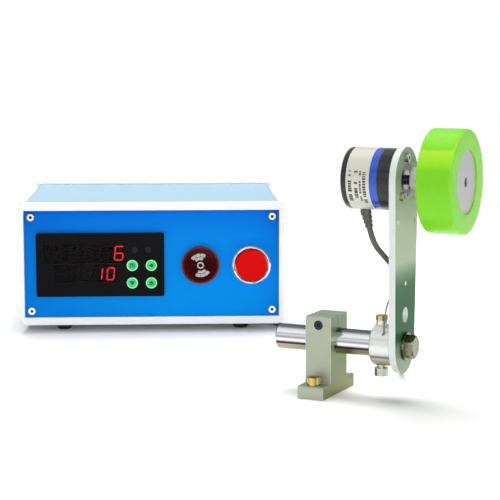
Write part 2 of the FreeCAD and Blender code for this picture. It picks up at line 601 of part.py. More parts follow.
# Rear panel fittings
def build_rear():
    left = "inlet_side - inlet_wide / 2"
    low = "inlet_low - inlet_tall / 2"
    flange = block("inlet_wide + 2 * inlet_flange", "inlet_proud", "inlet_tall + 2 * inlet_flange",
                   (f"{left} - inlet_flange", "panel_recess - inlet_proud", f"{low} - inlet_flange"))
    body = block("inlet_wide", "inlet_deep", "inlet_tall", (left, "panel_recess", low))
    mouth = block("inlet_wide - 2 * inlet_wall", "inlet_deep - inlet_wall + inlet_proud + overrun",
                  "inlet_tall - 2 * inlet_wall",
                  (f"{left} + inlet_wall", "panel_recess - inlet_proud - overrun", f"{low} + inlet_wall"))
    blades = [
        block("blade_wide", "blade_long", "blade_tall",
              (f"inlet_side - blade_wide / 2 + {step} * blade_pitch",
               "panel_recess + inlet_deep - inlet_wall - blade_long", f"{low} + inlet_wall + blade_wide"))
        for step in (-1, 0, 1)
    ]
    subpart("mains_inlet", "rear", fuse(cut(fuse(flange, body), mouth), *blades))

    left = "switch_side - switch_wide / 2"
    low = "inlet_low - switch_tall / 2"
    front = "panel_recess - switch_proud"
    flange = block("switch_wide + 2 * switch_flange", "switch_proud", "switch_tall + 2 * switch_flange",
                   (f"{left} - switch_flange", front, f"{low} - switch_flange"))
    body = block("switch_wide", "switch_deep", "switch_tall", (left, "panel_recess", low))
    mouth = block("switch_wide - 2 * switch_wall", "switch_deep - switch_wall + switch_proud + overrun",
                  "switch_tall - 2 * switch_wall",
                  (f"{left} + switch_wall", f"{front} - overrun", f"{low} + switch_wall"))
    axle = f"{front} + axle_deep"
    bores = rod("rocker_axle + running_gap", "switch_wide - switch_wall",
                (f"{left} + switch_wall / 2", axle, "inlet_low"), "x")
    subpart("switch_frame", "rear", cut(fuse(flange, body), mouth, bores))
    profile = [("-rocker_face + rocker_sink", "0"), ("-rocker_face", "-rocker_high * rocker_tip_share"),
               ("0", "-rocker_high"), ("rocker_face", "-rocker_high * rocker_flat_share"),
               ("rocker_face", "rocker_high * rocker_flat_share"), ("0", "rocker_high"),
               ("-rocker_face", "rocker_high * rocker_tip_share")]
    paddle = slab("x", profile, "switch_wide - 2 * switch_wall - 2 * free_gap",
                  ("switch_wall / 2 + free_gap - running_gap", "0", "0"))
    pivot = rod("rocker_axle", "switch_wide - switch_wall - 2 * running_gap", ("0", "0", "0"), "x")
    rocker = gather([fuse(paddle, pivot)])
    rocker.Placement = FreeCAD.Placement(Vector(), Rotation(Vector(1, 0, 0), 1))
    rocker.setExpression("Placement.Rotation.Angle", formula("rocker_tilt"))
    rocker.setExpression("Placement.Base.x", formula(f"{left} + switch_wall / 2 + running_gap"))
    rocker.setExpression("Placement.Base.y", formula(axle))
    rocker.setExpression("Placement.Base.z", formula("inlet_low"))
    subpart("power_rocker", "rear", rocker)

    start = "panel_recess - socket_proud"
    floor = "socket_proud + socket_deep - socket_flange_thick"
    shell = turned([("socket_bore", "0"), ("socket_radius", "0"),
                    ("socket_radius", "socket_proud - socket_flange_thick"),
                    ("socket_flange", "socket_proud - socket_flange_thick"),
                    ("socket_flange", "socket_proud"),
                    ("socket_radius", "socket_proud"), ("socket_radius", f"{floor} + socket_flange_thick"),
                    ("0", f"{floor} + socket_flange_thick"), ("0", floor), ("socket_bore", floor)],
                   ("socket_side", start, "inlet_low"), "y")
    pins = int(cells["socket_pins"])
    contacts = [
        rod("socket_pin", "socket_pin_long",
            (f"socket_side + socket_pin_ring * cos({360 * pin / pins})",
             f"{start} + {floor} - socket_pin_long",
             f"inlet_low + socket_pin_ring * sin({360 * pin / pins})"), "y")
        for pin in range(pins)
    ]
    subpart("encoder_socket", "rear", fuse(shell, *contacts))


# Stand: block, rod and hub, in a frame whose X runs along the rod
def socket_screw(head, head_tall, shank, long, key, at, axis="z"):
    letter, sign = {"left": (0, -1), "y": (1, 1), "z": (2, 1), "down": (2, -1)}[axis]
    shank_at = list(at)
    over = list(at)
    shank_at[letter] = f"{at[letter]} + {sign} * {head_tall}"
    over[letter] = f"{at[letter]} - {sign} * overrun"
    body = fuse(rod(head, head_tall, at, axis), rod(shank, long, shank_at, axis))
    return cut(body, hexagon(key, f"{head_tall} / 2 + overrun", over, axis))


def build_block():
    base = slab("x", [("-base_deep / 2", "0"), ("base_deep / 2", "0"),
                      ("base_deep / 2", "base_thick - block_edge"),
                      ("base_deep / 2 - block_edge", "base_thick"),
                      ("upright_deep / 2", "base_thick"),
                      ("upright_deep / 2", "block_tall - block_edge"),
                      ("upright_deep / 2 - block_edge", "block_tall"),
                      ("-upright_deep / 2 + block_edge", "block_tall"),
                      ("-upright_deep / 2", "block_tall - block_edge"),
                      ("-upright_deep / 2", "base_thick"),
                      ("-base_deep / 2 + block_edge", "base_thick"),
                      ("-base_deep / 2", "base_thick - block_edge")],
                "block_wide", ("-block_wide / 2", "0", "0"))
    bore = rod("rod_radius + running_gap", "block_wide + 2 * overrun",
               ("-block_wide / 2 - overrun", "0", "shaft_high"), "x")
    slit = block("block_wide + 2 * overrun", "slit_wide", "block_tall - shaft_high + overrun",
                 ("-block_wide / 2 - overrun", "-slit_wide / 2", "shaft_high"))
    clamp_hole = rod("clamp_shank + seat_gap", "upright_deep", ("0", "-upright_deep / 2", "clamp_high"), "y")
    clamp_well = rod("clamp_head + free_gap", "clamp_pocket + overrun",
                     ("0", "-upright_deep / 2 - overrun", "clamp_high"), "y")
    base_holes = []
    screws = []
    for sign in (-1, 1):
        out = f"{sign} * base_screw_out"
        base_holes.append(
            rod("base_screw_shank + seat_gap", "base_thick + 2 * overrun", ("0", out, "-overrun"))
        )
        screws.append(socket_screw(
            "base_screw_head", "base_screw_head_tall", "base_screw_shank", "base_thick - base_screw_tip",
            "base_screw_key", ("0", out, "base_thick + base_screw_head_tall"), "down"))
    subpart("mount_block", "stand", cut(base, bore, slit, clamp_hole, clamp_well, *base_holes))
    subpart("base_screws", "stand", *screws)
    clamp = socket_screw("clamp_head", "clamp_head_tall", "clamp_shank",
                         "upright_deep - clamp_pocket - seat_gap", "clamp_key",
                         ("0", "-upright_deep / 2 + clamp_pocket - clamp_head_tall", "clamp_high"), "y")
    subpart("block_clamp_screw", "stand", clamp)


def build_rod():
    shoulder = "arm_left - free_gap - (rod_left)"
    end = "arm_left + arm_thick + free_gap - (rod_left)"
    bar = turned([("0", "0"), ("rod_radius - rod_edge", "0"), ("rod_radius", "rod_edge"),
                  ("rod_radius", shoulder), ("journal_radius", shoulder), ("journal_radius", end),
                  ("bolt_shank + seat_gap", end), ("bolt_shank + seat_gap", f"{end} - bolt_deep"),
                  ("0", f"{end} - bolt_deep")], ("rod_left", "0", "shaft_high"), "x")
    subpart("support_rod", "stand", bar)
    washer_left = "arm_left + arm_thick + free_gap"
    washer = cut(rod("washer_outer", "washer_thick", (washer_left, "0", "shaft_high"), "x"),
                 rod("bolt_shank + seat_gap", "washer_thick + 2 * overrun",
                     (f"{washer_left} - overrun", "0", "shaft_high"), "x"))
    subpart("pivot_washer", "stand", washer)
    head_left = f"{washer_left} + washer_thick"
    head = hexagon("bolt_flats / cos(30)", "bolt_head_tall", (head_left, "0", "shaft_high"), "x")
    crown = turned([("0", "0"), ("bolt_flats / cos(30)", "0"),
                    ("bolt_flats / cos(30)", "bolt_head_tall * bolt_edge_share"),
                    ("bolt_flats * bolt_crown_share", "bolt_head_tall"), ("0", "bolt_head_tall")],
                   (head_left, "0", "shaft_high"), "x")
    shank = rod("bolt_shank", "bolt_deep + washer_thick - seat_gap",
                (f"{head_left} - bolt_deep - washer_thick + seat_gap", "0", "shaft_high"), "x")
    subpart("pivot_bolt", "stand", fuse(common(head, crown), shank))

    hub_long = "arm_left - hub_end - hub_left"
    bore = "rod_radius + seat_gap"
    hub = turned([(bore, "0"), ("hub_radius - hub_edge", "0"), ("hub_radius", "hub_edge"),
                  ("hub_radius", hub_long), ("cavity_radius", hub_long),
                  ("cavity_radius", f"{hub_long} - hub_cavity"), (bore, f"{hub_long} - hub_cavity")],
                 ("hub_left", "0", "shaft_high"), "x")
    boss = rod("top_boss", "hub_radius + top_boss_tall", ("lock_screw_left", "0", "shaft_high"))
    through = rod(bore, "hub_radius", ("hub_left - overrun", "0", "shaft_high"), "x")
    top_hole = rod("top_shank + seat_gap", "hub_radius + top_boss_tall + overrun",
                   ("lock_screw_left", "0", "shaft_high"))
    lock_hole = rod("lock_shank + seat_gap", "hub_radius + overrun",
                    ("lock_screw_left", "0", "shaft_high - hub_radius - overrun"))
    room = "(spring_wire + free_gap)"
    slot = block(f"2 * {room}", f"2 * {room}", "hub_radius",
                 (f"{leg_left} - {room}", f"-spring_radius - {room}", "shaft_high"))
    subpart("spring_hub", "stand", cut(fuse(hub, boss), through, top_hole, lock_hole, slot))
    lock = socket_screw("lock_head", "lock_head_tall", "lock_shank",
                        "hub_radius - rod_radius + lock_show - seat_gap", "lock_key",
                        ("lock_screw_left", "0", "shaft_high - hub_radius - lock_show - lock_head_tall"))
    subpart("hub_lock_screw", "stand", lock)
    under = "shaft_high + hub_radius + top_boss_tall"
    head = rod("top_head", "top_head_tall", ("lock_screw_left", "0", under))
    shank = rod("top_shank", "hub_radius + top_boss_tall - rod_radius - seat_gap",
                ("lock_screw_left", "0", "shaft_high + rod_radius + seat_gap"))
    groove = block("2 * top_head + 2 * overrun", "top_slot", "top_slot_deep + overrun",
                   ("lock_screw_left - top_head - overrun", "-top_slot / 2",
                    f"{under} + top_head_tall - top_slot_deep"))
    subpart("hub_top_screw", "stand", cut(fuse(head, shank), groove))


# Arm, encoder and wheel
leg_left = "(arm_left - hub_end - hub_cavity + 2 * spring_wire)"
arm_top = "(shaft_high + arm_long)"


def arm_plate():
    body, sketch = new_sketch("x")
    low, high, long = value("pivot_end"), value("head_end"), value("arm_long")
    lean = math.asin((low - high) / long)
    normal = Vector(math.cos(lean), math.sin(lean), 0)
    mirrored = Vector(-normal.x, normal.y, 0)
    top = Vector(0, long, 0)
    upright = Vector(0, 0, 1)
    foot = Part.Circle(Vector(), upright, low)
    sketch.addGeometry(Part.ArcOfCircle(foot, math.pi - lean, 2 * math.pi + lean), False)
    sketch.addGeometry(Part.LineSegment(normal * low, top + normal * high), False)
    sketch.addGeometry(Part.ArcOfCircle(Part.Circle(top, upright, high), lean, math.pi - lean), False)
    sketch.addGeometry(Part.LineSegment(top + mirrored * high, mirrored * low), False)
    for here, there in ((0, 1), (1, 2), (2, 3), (3, 0)):
        sketch.addConstraint(Sketcher.Constraint("Tangent", here, 2, there, 1))
    for arc, radius, high_text in ((0, "pivot_end", "0"), (2, "head_end", "arm_long")):
        fix(sketch, "DistanceX", -1, 1, arc, 3, "0")
        fix(sketch, "DistanceY", -1, 1, arc, 3, high_text)
        fix(sketch, "Radius", arc, radius)
    pad = body.newObject("PartDesign::Pad", "pad")
    pad.Profile = sketch
    bind(pad, Length="arm_thick")
    return place(body, ("arm_left", "0", "shaft_high"))


def ring_places(ring, count, first, high):
    return [
        (f"{ring} * cos({first} + {360 * step / count})",
         f"{high} + {ring} * sin({first} + {360 * step / count})")
        for step in range(count)
    ]


def build_arm():
    plate = arm_plate()
    screws = ring_places("screw_ring", int(cells["screw_count"]), "screw_first", arm_top)
    tapped = [
        (f"{sign} * tapped_ring * sin(tapped_turn)", f"{arm_top} - tapped_ring * cos(tapped_turn)")
        for sign in (-1, 1)
    ]
    small = [("small_hole_y", f"{arm_top} + {sign} * small_hole_up") for sign in (-1, 1)]
    holes = [("bush_outer", "0", "shaft_high"), ("nose_radius", "0", arm_top),
             ("sight_hole", "0", "shaft_high + sight_up"),
             ("pin_radius + seat_gap", "0", "shaft_high + pin_up")]
    holes += [("mount_shank + seat_gap", *place_at) for place_at in screws]
    holes += [("tapped_radius", *place_at) for place_at in tapped]
    holes += [("small_hole", *place_at) for place_at in small]
    drills = [
        rod(radius, "arm_thick + 2 * overrun", ("arm_left - overrun", back, high), "x")
        for radius, back, high in holes
    ]
    subpart("swing_arm", "stand", cut(plate, *drills))
    bush = cut(rod("bush_outer - seat_gap", "arm_thick", ("arm_left", "0", "shaft_high"), "x"),
               rod("journal_radius + running_gap", "arm_thick + 2 * overrun",
                   ("arm_left - overrun", "0", "shaft_high"), "x"))
    subpart("arm_bush", "stand", bush)
    pin = rod("pin_radius", "pin_long + arm_thick", ("arm_left - pin_long", "0", "shaft_high + pin_up"), "x")
    subpart("spring_pin", "stand", pin)

    flange_left = "(arm_left - flange_long)"
    seat = "bearing_outer + seat_gap"
    nose = "flange_long + nose_long"
    flange = turned([(seat, "0"), ("encoder_radius", "0"), ("encoder_radius", "flange_long"),
                     ("nose_radius - seat_gap", "flange_long"), ("nose_radius - seat_gap", nose),
                     (seat, nose), (seat, f"{nose} - bearing_wide"),
                     ("shaft_radius + overrun", f"{nose} - bearing_wide"),
                     ("shaft_radius + overrun", "bearing_wide"), (seat, "bearing_wide")],
                    (flange_left, "0", arm_top), "x")
    sockets = [
        rod("mount_shank + seat_gap", "mount_long - arm_thick + overrun",
            ("arm_left + arm_thick - mount_long - overrun", back, high), "x")
        for back, high in screws
    ]
    subpart("encoder_flange", "stand", cut(flange, *sockets))
    subpart("encoder_screws", "stand", *[
        socket_screw("mount_head", "mount_head_tall", "mount_shank", "mount_long", "mount_key",
                     ("arm_left + arm_thick + mount_head_tall", back, high), "left")
        for back, high in screws
    ])
    subpart("encoder_bearings", "stand", *[
        cut(rod("bearing_outer", "bearing_wide", (side, "0", arm_top), "x"),
            rod("shaft_radius + running_gap", "bearing_wide + 2 * overrun",
                (f"{side} - overrun", "0", arm_top), "x"))
        for side in (flange_left, f"{flange_left} + {nose} - bearing_wide")
    ])

    long = f"{flange_left} - encoder_left"
    skin = "encoder_radius - skin_thick - seat_gap"
    shell = f"{skin} - cover_shell"
    boot_top = (("boot_left", "0", f"{arm_top} - encoder_radius"), "boot")
    cover = turned([("0", "0"), ("encoder_radius - cap_round", "0"),
                    ("encoder_radius - cap_round * corner_share", "cap_round * corner_share"),
                    ("encoder_radius", "cap_round"),
                    ("encoder_radius", "cap_long"), (skin, "cap_long"), (skin, long), (shell, long),
                    (shell, "cover_shell"), ("0", "cover_shell")], ("encoder_left", "0", arm_top), "x")
    boot_holes = [
        rod(f"{radius} + seat_gap", deep,
            (f"boot_left + ({start}) * sin(boot_tilt)", "0",
             f"{arm_top} - encoder_radius - ({start}) * cos(boot_tilt)"), "boot")
        for radius, deep, start in (("boot_spigot", "encoder_radius / 2", "-encoder_radius / 4"),
                                    ("boot_top", "boot_collar", "free_gap - seat_gap"))
    ]
    subpart("encoder_cover", "stand", cut(cover, *boot_holes))

    def sleeve(start, wide):
        return cut(rod("encoder_radius", wide, (start, "0", arm_top), "x"),
                   rod("encoder_radius - skin_thick", f"{wide} + 2 * overrun",
                       (f"{start} - overrun", "0", arm_top), "x"))

    label_start = "encoder_left + cap_long"
    subpart("encoder_label", "stand", cut(sleeve(label_start, "label_long"), *boot_holes))
    subpart("encoder_band", "stand", sleeve(f"{label_start} + label_long", f"{long} - cap_long - label_long"))
    subpart("encoder_board", "stand",
            rod(f"{shell} - free_gap", "board_thick", ("board_left", "0", arm_top), "x"))
    rings = int(cells["boot_rings"])
    boot = [("0", "-skin_thick - cover_shell - running_gap"),
            ("boot_spigot", "-skin_thick - cover_shell - running_gap"), ("boot_spigot", "free_gap"),
            ("boot_top", "free_gap"), ("boot_top", "boot_collar")]
    step = f"(boot_long - boot_collar) / {2 * rings}"
    for ring in range(rings):
        wide = f"boot_top - (boot_top - boot_low) * {ring / rings}"
        boot += [(f"{wide} - boot_groove", f"boot_collar + {2 * ring} * {step}"),
                 (f"{wide} - boot_groove", f"boot_collar + {2 * ring + 1} * {step}"),
                 (f"{wide} - boot_groove / 2", f"boot_collar + {2 * ring + 1} * {step}"),
                 (f"{wide} - boot_groove / 2", f"boot_collar + {2 * ring + 2} * {step}")]
    boot.append(("0", "boot_long"))
    subpart("cable_boot", "stand", turned(boot, *boot_top))


def build_wheel():
    bore = "shaft_radius + seat_gap"
    shaft = rod("shaft_radius", "wheel_left + wheel_wide - wheel_bore_show - shaft_left",
                ("shaft_left", "0", arm_top), "x")
    subpart("encoder_shaft", "stand", shaft)
    disc = cut(rod("code_radius", "code_thick", ("code_left", "0", arm_top), "x"),
               rod(bore, "code_thick + 2 * overrun", ("code_left - overrun", "0", arm_top), "x"))
    subpart("code_disc", "stand", disc)
    neck = "wheel_left - neck_left"
    inner = "wheel_disc - seat_gap"
    core = turned([(bore, "0"), ("neck_radius", "0"), ("neck_radius", f"{neck} + wheel_recess"),
                   (inner, f"{neck} + wheel_recess"), (inner, f"{neck} + wheel_wide - wheel_recess"),
                   (bore, f"{neck} + wheel_wide - wheel_recess")], ("neck_left", "0", arm_top), "x")
    hole = rod("set_screw_radius + seat_gap", "neck_radius + overrun",
               ("set_screw_left", "-neck_radius - overrun", arm_top), "y")
    subpart("wheel_core", "stand", cut(core, hole))
    screw = cut(rod("set_screw_radius", "neck_radius - shaft_radius - free_gap - seat_gap",
                    ("set_screw_left", "-neck_radius + free_gap", arm_top), "y"),
                hexagon("set_screw_radius / 2", "set_screw_radius + overrun",
                        ("set_screw_left", "-neck_radius + free_gap - overrun", arm_top), "y"))
    subpart("wheel_set_screw", "stand", screw)
    tyre = turned([("wheel_disc", "0"), ("wheel_radius - tyre_edge", "0"), ("wheel_radius", "tyre_edge"),
                   ("wheel_radius", "wheel_wide - tyre_edge"), ("wheel_radius - tyre_edge", "wheel_wide"),
                   ("wheel_disc", "wheel_wide")], ("wheel_left", "0", arm_top), "x")
    subpart("wheel_tyre", "stand", tyre)


# Wound and lying forms
def run_edges(points):
    edges = []
    start = points[0]
    for before, corner, after in zip(points, points[1:], points[2:]):
        into = (corner - before).normalize()
        away = (after - corner).normalize()
        half = into.getAngle(away) / 2
        reach = value("bend_share") * min(corner.distanceToPoint(before), corner.distanceToPoint(after))
        radius = reach / math.tan(half)
        enter = corner - into * reach
        leave = corner + away * reach
        bulge = corner + (away - into).normalize() * (math.hypot(reach, radius) - radius)
        edges += [Part.LineSegment(start, enter).toShape(), Part.Arc(enter, bulge, leave).toShape()]
        print(f"bend radius {radius:.1f}")
        start = leave
    edges.append(Part.LineSegment(start, points[-1]).toShape())
    return edges


def arc_from(start, direction, end):
    chord = end - start
    angle = direction.getAngle(chord)
    side = direction - chord * (direction.dot(chord) / chord.dot(chord))
    middle = (start + end) / 2 + side.normalize() * (chord.Length / 2 * math.tan(angle / 2))
    return Part.Arc(start, middle, end).toShape()


def biarc_edges(stations):
    edges = []
    for (start, into), (end, away) in zip(stations, stations[1:]):
        chord = end - start
        both = into + away
        spread = 2 * (1 - into.dot(away))
        lead = (-chord.dot(both) + math.sqrt(chord.dot(both) ** 2 + spread * chord.dot(chord))) / spread
        middle = (start + end + (into - away) * lead) / 2
        edges += [arc_from(start, into, middle), arc_from(end, away.negative(), middle)]
    return edges


def tube(edges, radius):
    wire = Part.Wire(Part.__sortEdges__(edges))
    first = edges[0]
    start = first.valueAt(first.FirstParameter)
    profile = Part.Wire([Part.makeCircle(radius, start, first.tangentAt(first.FirstParameter))])
    solid = wire.makePipeShell([profile], True, False)
    share = solid.Volume / (math.pi * radius ** 2 * wire.Length)
    print(f"tube of {wire.Length:.1f} mm, volume over section times length {share:.4f}")
    return solid


def print_least_gap(name, edges, radius, spacing):
    wire = Part.Wire(Part.__sortEdges__(edges))
    points = wire.discretize(Distance=spacing)
    skip = math.ceil(4 * math.pi * radius / spacing)
    least = min(
        points[here].distanceToPoint(points[there])
        for here in range(len(points)) for there in range(here + skip, len(points))
    )
    print(f"{name}: least gap to itself {least - 2 * radius:.2f} mm")


def build_spring():
    radius, wire = value("spring_radius"), value("spring_wire")
    left, pitch, count = value(leg_left), value("spring_pitch"), value("spring_turns")
    high = value("shaft_high")
    steps = round(4 * count)
    stations = []
    for step in range(steps + 1):
        angle = math.pi + math.pi / 2 * (steps - step)
        spot = Vector(left + pitch * (steps - step) / 4, radius * math.cos(angle),
                      high + radius * math.sin(angle))
        slope = Vector(-pitch / (2 * math.pi), radius * math.sin(angle), -radius * math.cos(angle))
        stations.append((spot, slope.normalize()))
    upward = Vector(0, 0, 1)
    stations[0] = (stations[0][0], upward)
    stations[-1] = (stations[-1][0], upward)
    tail = stations[0][0] - upward * 2 * wire
    behind = value("pin_radius + spring_wire + seat_gap")
    pin = Vector(value("arm_left - pin_long / 3"), behind, high + value("pin_up"))
    foot = stations[-1][0]
    lean = value("spring_lean_share")
    leg = [foot, foot + upward * value("hub_radius + top_boss_tall + top_head_tall"),
           foot * lean + Vector(pin.x, pin.y - radius / 2, pin.z) * (1 - lean) + upward * radius,
           pin - upward * radius / 3, pin + upward * radius / 2]
    edges = [Part.LineSegment(tail, stations[0][0]).toShape()] + biarc_edges(stations)
    print_least_gap("torsion_spring", edges, wire, wire / 2)
    node = placed_feature("torsion_spring", tube(edges + run_edges(leg), wire))
    node.Placement = FreeCAD.Placement(Vector(), Rotation(Vector(0, 0, -1), value("kit_yaw")))


# Route of the cable, centre line, in the part's own frame
drop_route = [
    (24.81, -13.32, 105.94), (26.94, -14.46, 96.24), (33.8, -13.2, 88.2), (42.3, -9, 78.5), (48, -2.5, 61),
    (50.5, 9, 38), (52.5, 28, 16.5), (54.6, 51, 1.75), (57.4, 77, 1.75),
]
floor_route = [
    (57.4, 77, 1.75), (60.2, 103, 1.75), (57, 134, 1.75), (41, 161, 1.75), (18, 183, 1.75), (-3, 205, 1.75),
    (-16, 229, 1.75), (-21, 262, 1.75), (-23, 305, 1.75), (-23, 350, 1.75), (-25, 392, 1.75),
    (-27, 425, 1.75),
    (-29, 462, 1.75), (-33, 484, 1.75), (-41, 503, 1.75), (-55.5, 511, 1.75), (-70.5, 511, 1.75),
]
tail_route = [
    (-79.5, 509, 5.75), (-99, 509, 5.75), (-122, 511, 2.5), (-143, 509, 4.5), (-156.5, 497, 15),
    (-161.5, 478, 33), (-162.5, 456, 51), (-162.5, 435.95, 51),
]


def coil_stations():
    centre = Vector(value("coil_side"), value("coil_back"), value("cord_lift"))
    outer, pitch, rise = value("coil_outer"), value("coil_pitch"), value("coil_rise")
    low, high = round(4 * value("coil_turns_low")), round(4 * value("coil_turns_high"))
    stations = []
    for step in range(low + 2 + high + 1):
        wound = min(step, 2 * (low + 1) - step)
        radius = outer - pitch * wound / 4
        angle = math.pi / 2 * (1 + step)
        climb = min(max(step - low, 0), 2) / 2
        spot = centre + Vector(radius * math.cos(angle), radius * math.sin(angle), rise * climb)
        inward = math.copysign(pitch / (2 * math.pi), step - low - 1) if step != low + 1 else 0
        steep = rise / math.pi if step == low + 1 else 0
        slope = Vector(-radius * math.sin(angle) + inward * math.cos(angle),
                       radius * math.cos(angle) + inward * math.sin(angle), steep)
        if step == 0 or step == low + 2 + high:
            slope = Vector(-math.sin(angle), math.cos(angle), 0)
        stations.append((spot, slope.normalize()))
    return stations


def build_cable():
    radius = value("cord_radius")
    drop, lying, tail = (
        [Vector(*point) for point in route] for route in (drop_route, floor_route, tail_route)
    )
    placed_feature("encoder_cable", tube(run_edges(drop), radius))
    placed_feature("cable_run", tube(run_edges(lying), radius))
    stations = coil_stations()
    lead_in = Part.LineSegment(lying[-1], stations[0][0]).toShape()
    lead_out = Part.LineSegment(stations[-1][0], tail[0]).toShape()
    edges = [lead_in] + biarc_edges(stations) + [lead_out]
    print_least_gap("cable_coil", edges, radius, radius)
    placed_feature("cable_coil", tube(edges, radius))
    placed_feature("cable_tail", tube(run_edges(tail), radius))


def build_plug():
    nose = "(plug_nose_long + seat_gap)"
    body = f"({nose} + plug_ring_long)"
    neck = f"({body} + plug_body_long)"
    plug = turned([("plug_nose_bore", "0"), ("socket_bore - seat_gap", "0"), ("socket_bore - seat_gap", nose),
                   ("plug_radius", nose), ("plug_radius", body), ("plug_radius - plug_step", body),
                   ("plug_radius - plug_step", neck), ("plug_neck", neck),
                   ("plug_neck", f"{neck} + plug_neck_long"), ("0", f"{neck} + plug_neck_long"),
                   ("0", "socket_pin_long + plug_step"), ("plug_nose_bore", "socket_pin_long + plug_step")],
                  ("socket_side", "panel_recess - socket_proud + plug_nose_long", "inlet_low"), "front")
    subpart("cable_plug", "rear", plug)


build_panels(build_case())
build_meter()
build_operators()
build_rear()
build_block()
build_rod()
build_arm()
build_wheel()
build_spring()
build_cable()
build_plug()

doc.recompute()
faults = [piece.Name for piece in doc.Objects if {"Invalid", "Error"} & set(piece.State)]
for node in subparts:
    if node.Shape.isNull() or not node.Shape.isValid() or not node.Shape.Solids:
        faults.append(node.Label)
if faults:
    raise RuntimeError("Not built: " + ", ".join(faults))

os.makedirs("parts", exist_ok=True)
for node in subparts:
    node.Shape.exportStep(f"parts/{node.Label}.step")
    box = node.Shape.BoundBox
    print(f"{node.Label}: {len(node.Shape.Solids)} solids, X {box.XMin:.1f} to {box.XMax:.1f},"
          f" Y {box.YMin:.1f} to {box.YMax:.1f}, Z {box.ZMin:.1f} to {box.ZMax:.1f}")
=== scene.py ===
import math
import random

import bmesh
import bpy
from mathutils import Matrix, Vector


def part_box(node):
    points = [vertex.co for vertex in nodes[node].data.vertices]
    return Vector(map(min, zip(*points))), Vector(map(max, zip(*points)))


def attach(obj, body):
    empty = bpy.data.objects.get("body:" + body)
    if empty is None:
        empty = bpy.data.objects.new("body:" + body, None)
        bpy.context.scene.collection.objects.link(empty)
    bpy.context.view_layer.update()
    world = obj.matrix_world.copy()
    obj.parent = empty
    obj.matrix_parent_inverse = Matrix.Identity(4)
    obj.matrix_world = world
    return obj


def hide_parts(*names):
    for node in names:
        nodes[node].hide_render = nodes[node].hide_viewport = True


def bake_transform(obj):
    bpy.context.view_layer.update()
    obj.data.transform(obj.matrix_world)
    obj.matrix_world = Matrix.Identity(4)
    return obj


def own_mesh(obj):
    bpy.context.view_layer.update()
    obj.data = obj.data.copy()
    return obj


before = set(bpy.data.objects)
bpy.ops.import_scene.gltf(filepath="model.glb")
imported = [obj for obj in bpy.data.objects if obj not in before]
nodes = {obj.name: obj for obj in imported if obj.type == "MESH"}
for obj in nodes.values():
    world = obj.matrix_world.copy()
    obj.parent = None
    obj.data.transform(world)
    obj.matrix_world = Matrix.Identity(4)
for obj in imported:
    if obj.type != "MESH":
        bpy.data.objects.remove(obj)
bpy.context.view_layer.update()
scene = bpy.context.scene
mm = 0.001
weldNear = 1e-7
print("frame loaded:", len(nodes), "nodes")

# The stand is turned on the bench, the case is square to it
standTurn = math.radians(-28.21)
standFrame = Matrix.Rotation(standTurn, 4, "Z")
caseLeft, caseLow = -211, 6
shaftHigh, wheelHigh = 33.5, 136


def standSpot(x, y, z):
    return standFrame @ (Vector((x, y, z)) * mm)


def shade(red, green, blue):
    # Screen values 0 to 255 to the linear colour that a shader takes
    def lin(value):
        value /= 255
        return value / 12.92 if value <= 0.04045 else ((value + 0.055) / 1.055) ** 2.4
    return (lin(red), lin(green), lin(blue), 1)


# Shader node helpers
def groupNode(tree, group, values=None, **links):
    node = tree.nodes.new("ShaderNodeGroup")
    node.node_tree = group
    for socket, value in (values or {}).items():
        node.inputs[socket].default_value = value
    for socket, source in links.items():
        tree.links.new(source, node.inputs[socket])
    return node


def newNode(tree, kind, settings=None, values=None, **links):
    node = tree.nodes.new(kind)
    for setting, value in (settings or {}).items():
        setattr(node, setting, value)
    for socket, value in (values or {}).items():
        node.inputs[socket].default_value = value
    for socket, source in links.items():
        key = int(socket[2:]) if socket.startswith("in") and socket[2:].isdigit() else socket
        tree.links.new(source, node.inputs[key])
    return node


def newGroup(name, inputs, outputs):
    group = bpy.data.node_groups.new(name, "ShaderNodeTree")
    for socket, kind, value in inputs:
        made = group.interface.new_socket(socket, in_out="INPUT", socket_type=kind)
        made.default_value = value
    for socket, kind in outputs:
        group.interface.new_socket(socket, in_out="OUTPUT", socket_type=kind)
    return group, group.nodes.new("NodeGroupInput"), group.nodes.new("NodeGroupOutput")


number, colour, vector = "NodeSocketFloat", "NodeSocketColor", "NodeSocketVector"


def makeGrain():
    # Fine streaks or speckle, stretched along one way of the piece
    group, given, made = newGroup(
        "surfaceGrain",
        [("Size", number, 400), ("Stretch", vector, (1, 1, 1)), ("Turn", vector, (0, 0, 0)),
         ("Detail", number, 3)],
        [("Grain", number)])
    place = newNode(group, "ShaderNodeTexCoord")
    turned = newNode(group, "ShaderNodeMapping", Vector=place.outputs["Object"],
                     Rotation=given.outputs["Turn"])
    drawn = newNode(group, "ShaderNodeMapping", Vector=turned.outputs["Vector"],
                    Scale=given.outputs["Stretch"])
    noise = newNode(group, "ShaderNodeTexNoise", Vector=drawn.outputs["Vector"],
                    Scale=given.outputs["Size"], Detail=given.outputs["Detail"])
    group.links.new(noise.outputs["Fac"], made.inputs["Grain"])
    return group


def makeSoftEdge():
    # Rounds the look of a sharp edge and says where that edge is
    group, given, made = newGroup(
        "softEdge", [("Radius", number, 0.0003)], [("Normal", vector), ("Edge", number)])
    bevel = newNode(group, "ShaderNodeBevel", {"samples": 4}, Radius=given.outputs["Radius"])
    flat = newNode(group, "ShaderNodeNewGeometry")
    agree = newNode(group, "ShaderNodeVectorMath", {"operation": "DOT_PRODUCT"},
                    in0=bevel.outputs["Normal"], in1=flat.outputs["Normal"])
    spread = newNode(group, "ShaderNodeMapRange", {"clamp": True},
                     {"From Min": 1, "From Max": 0.75}, Value=agree.outputs["Value"])
    group.links.new(bevel.outputs["Normal"], made.inputs["Normal"])
    group.links.new(spread.outputs["Result"], made.inputs["Edge"])
    return group


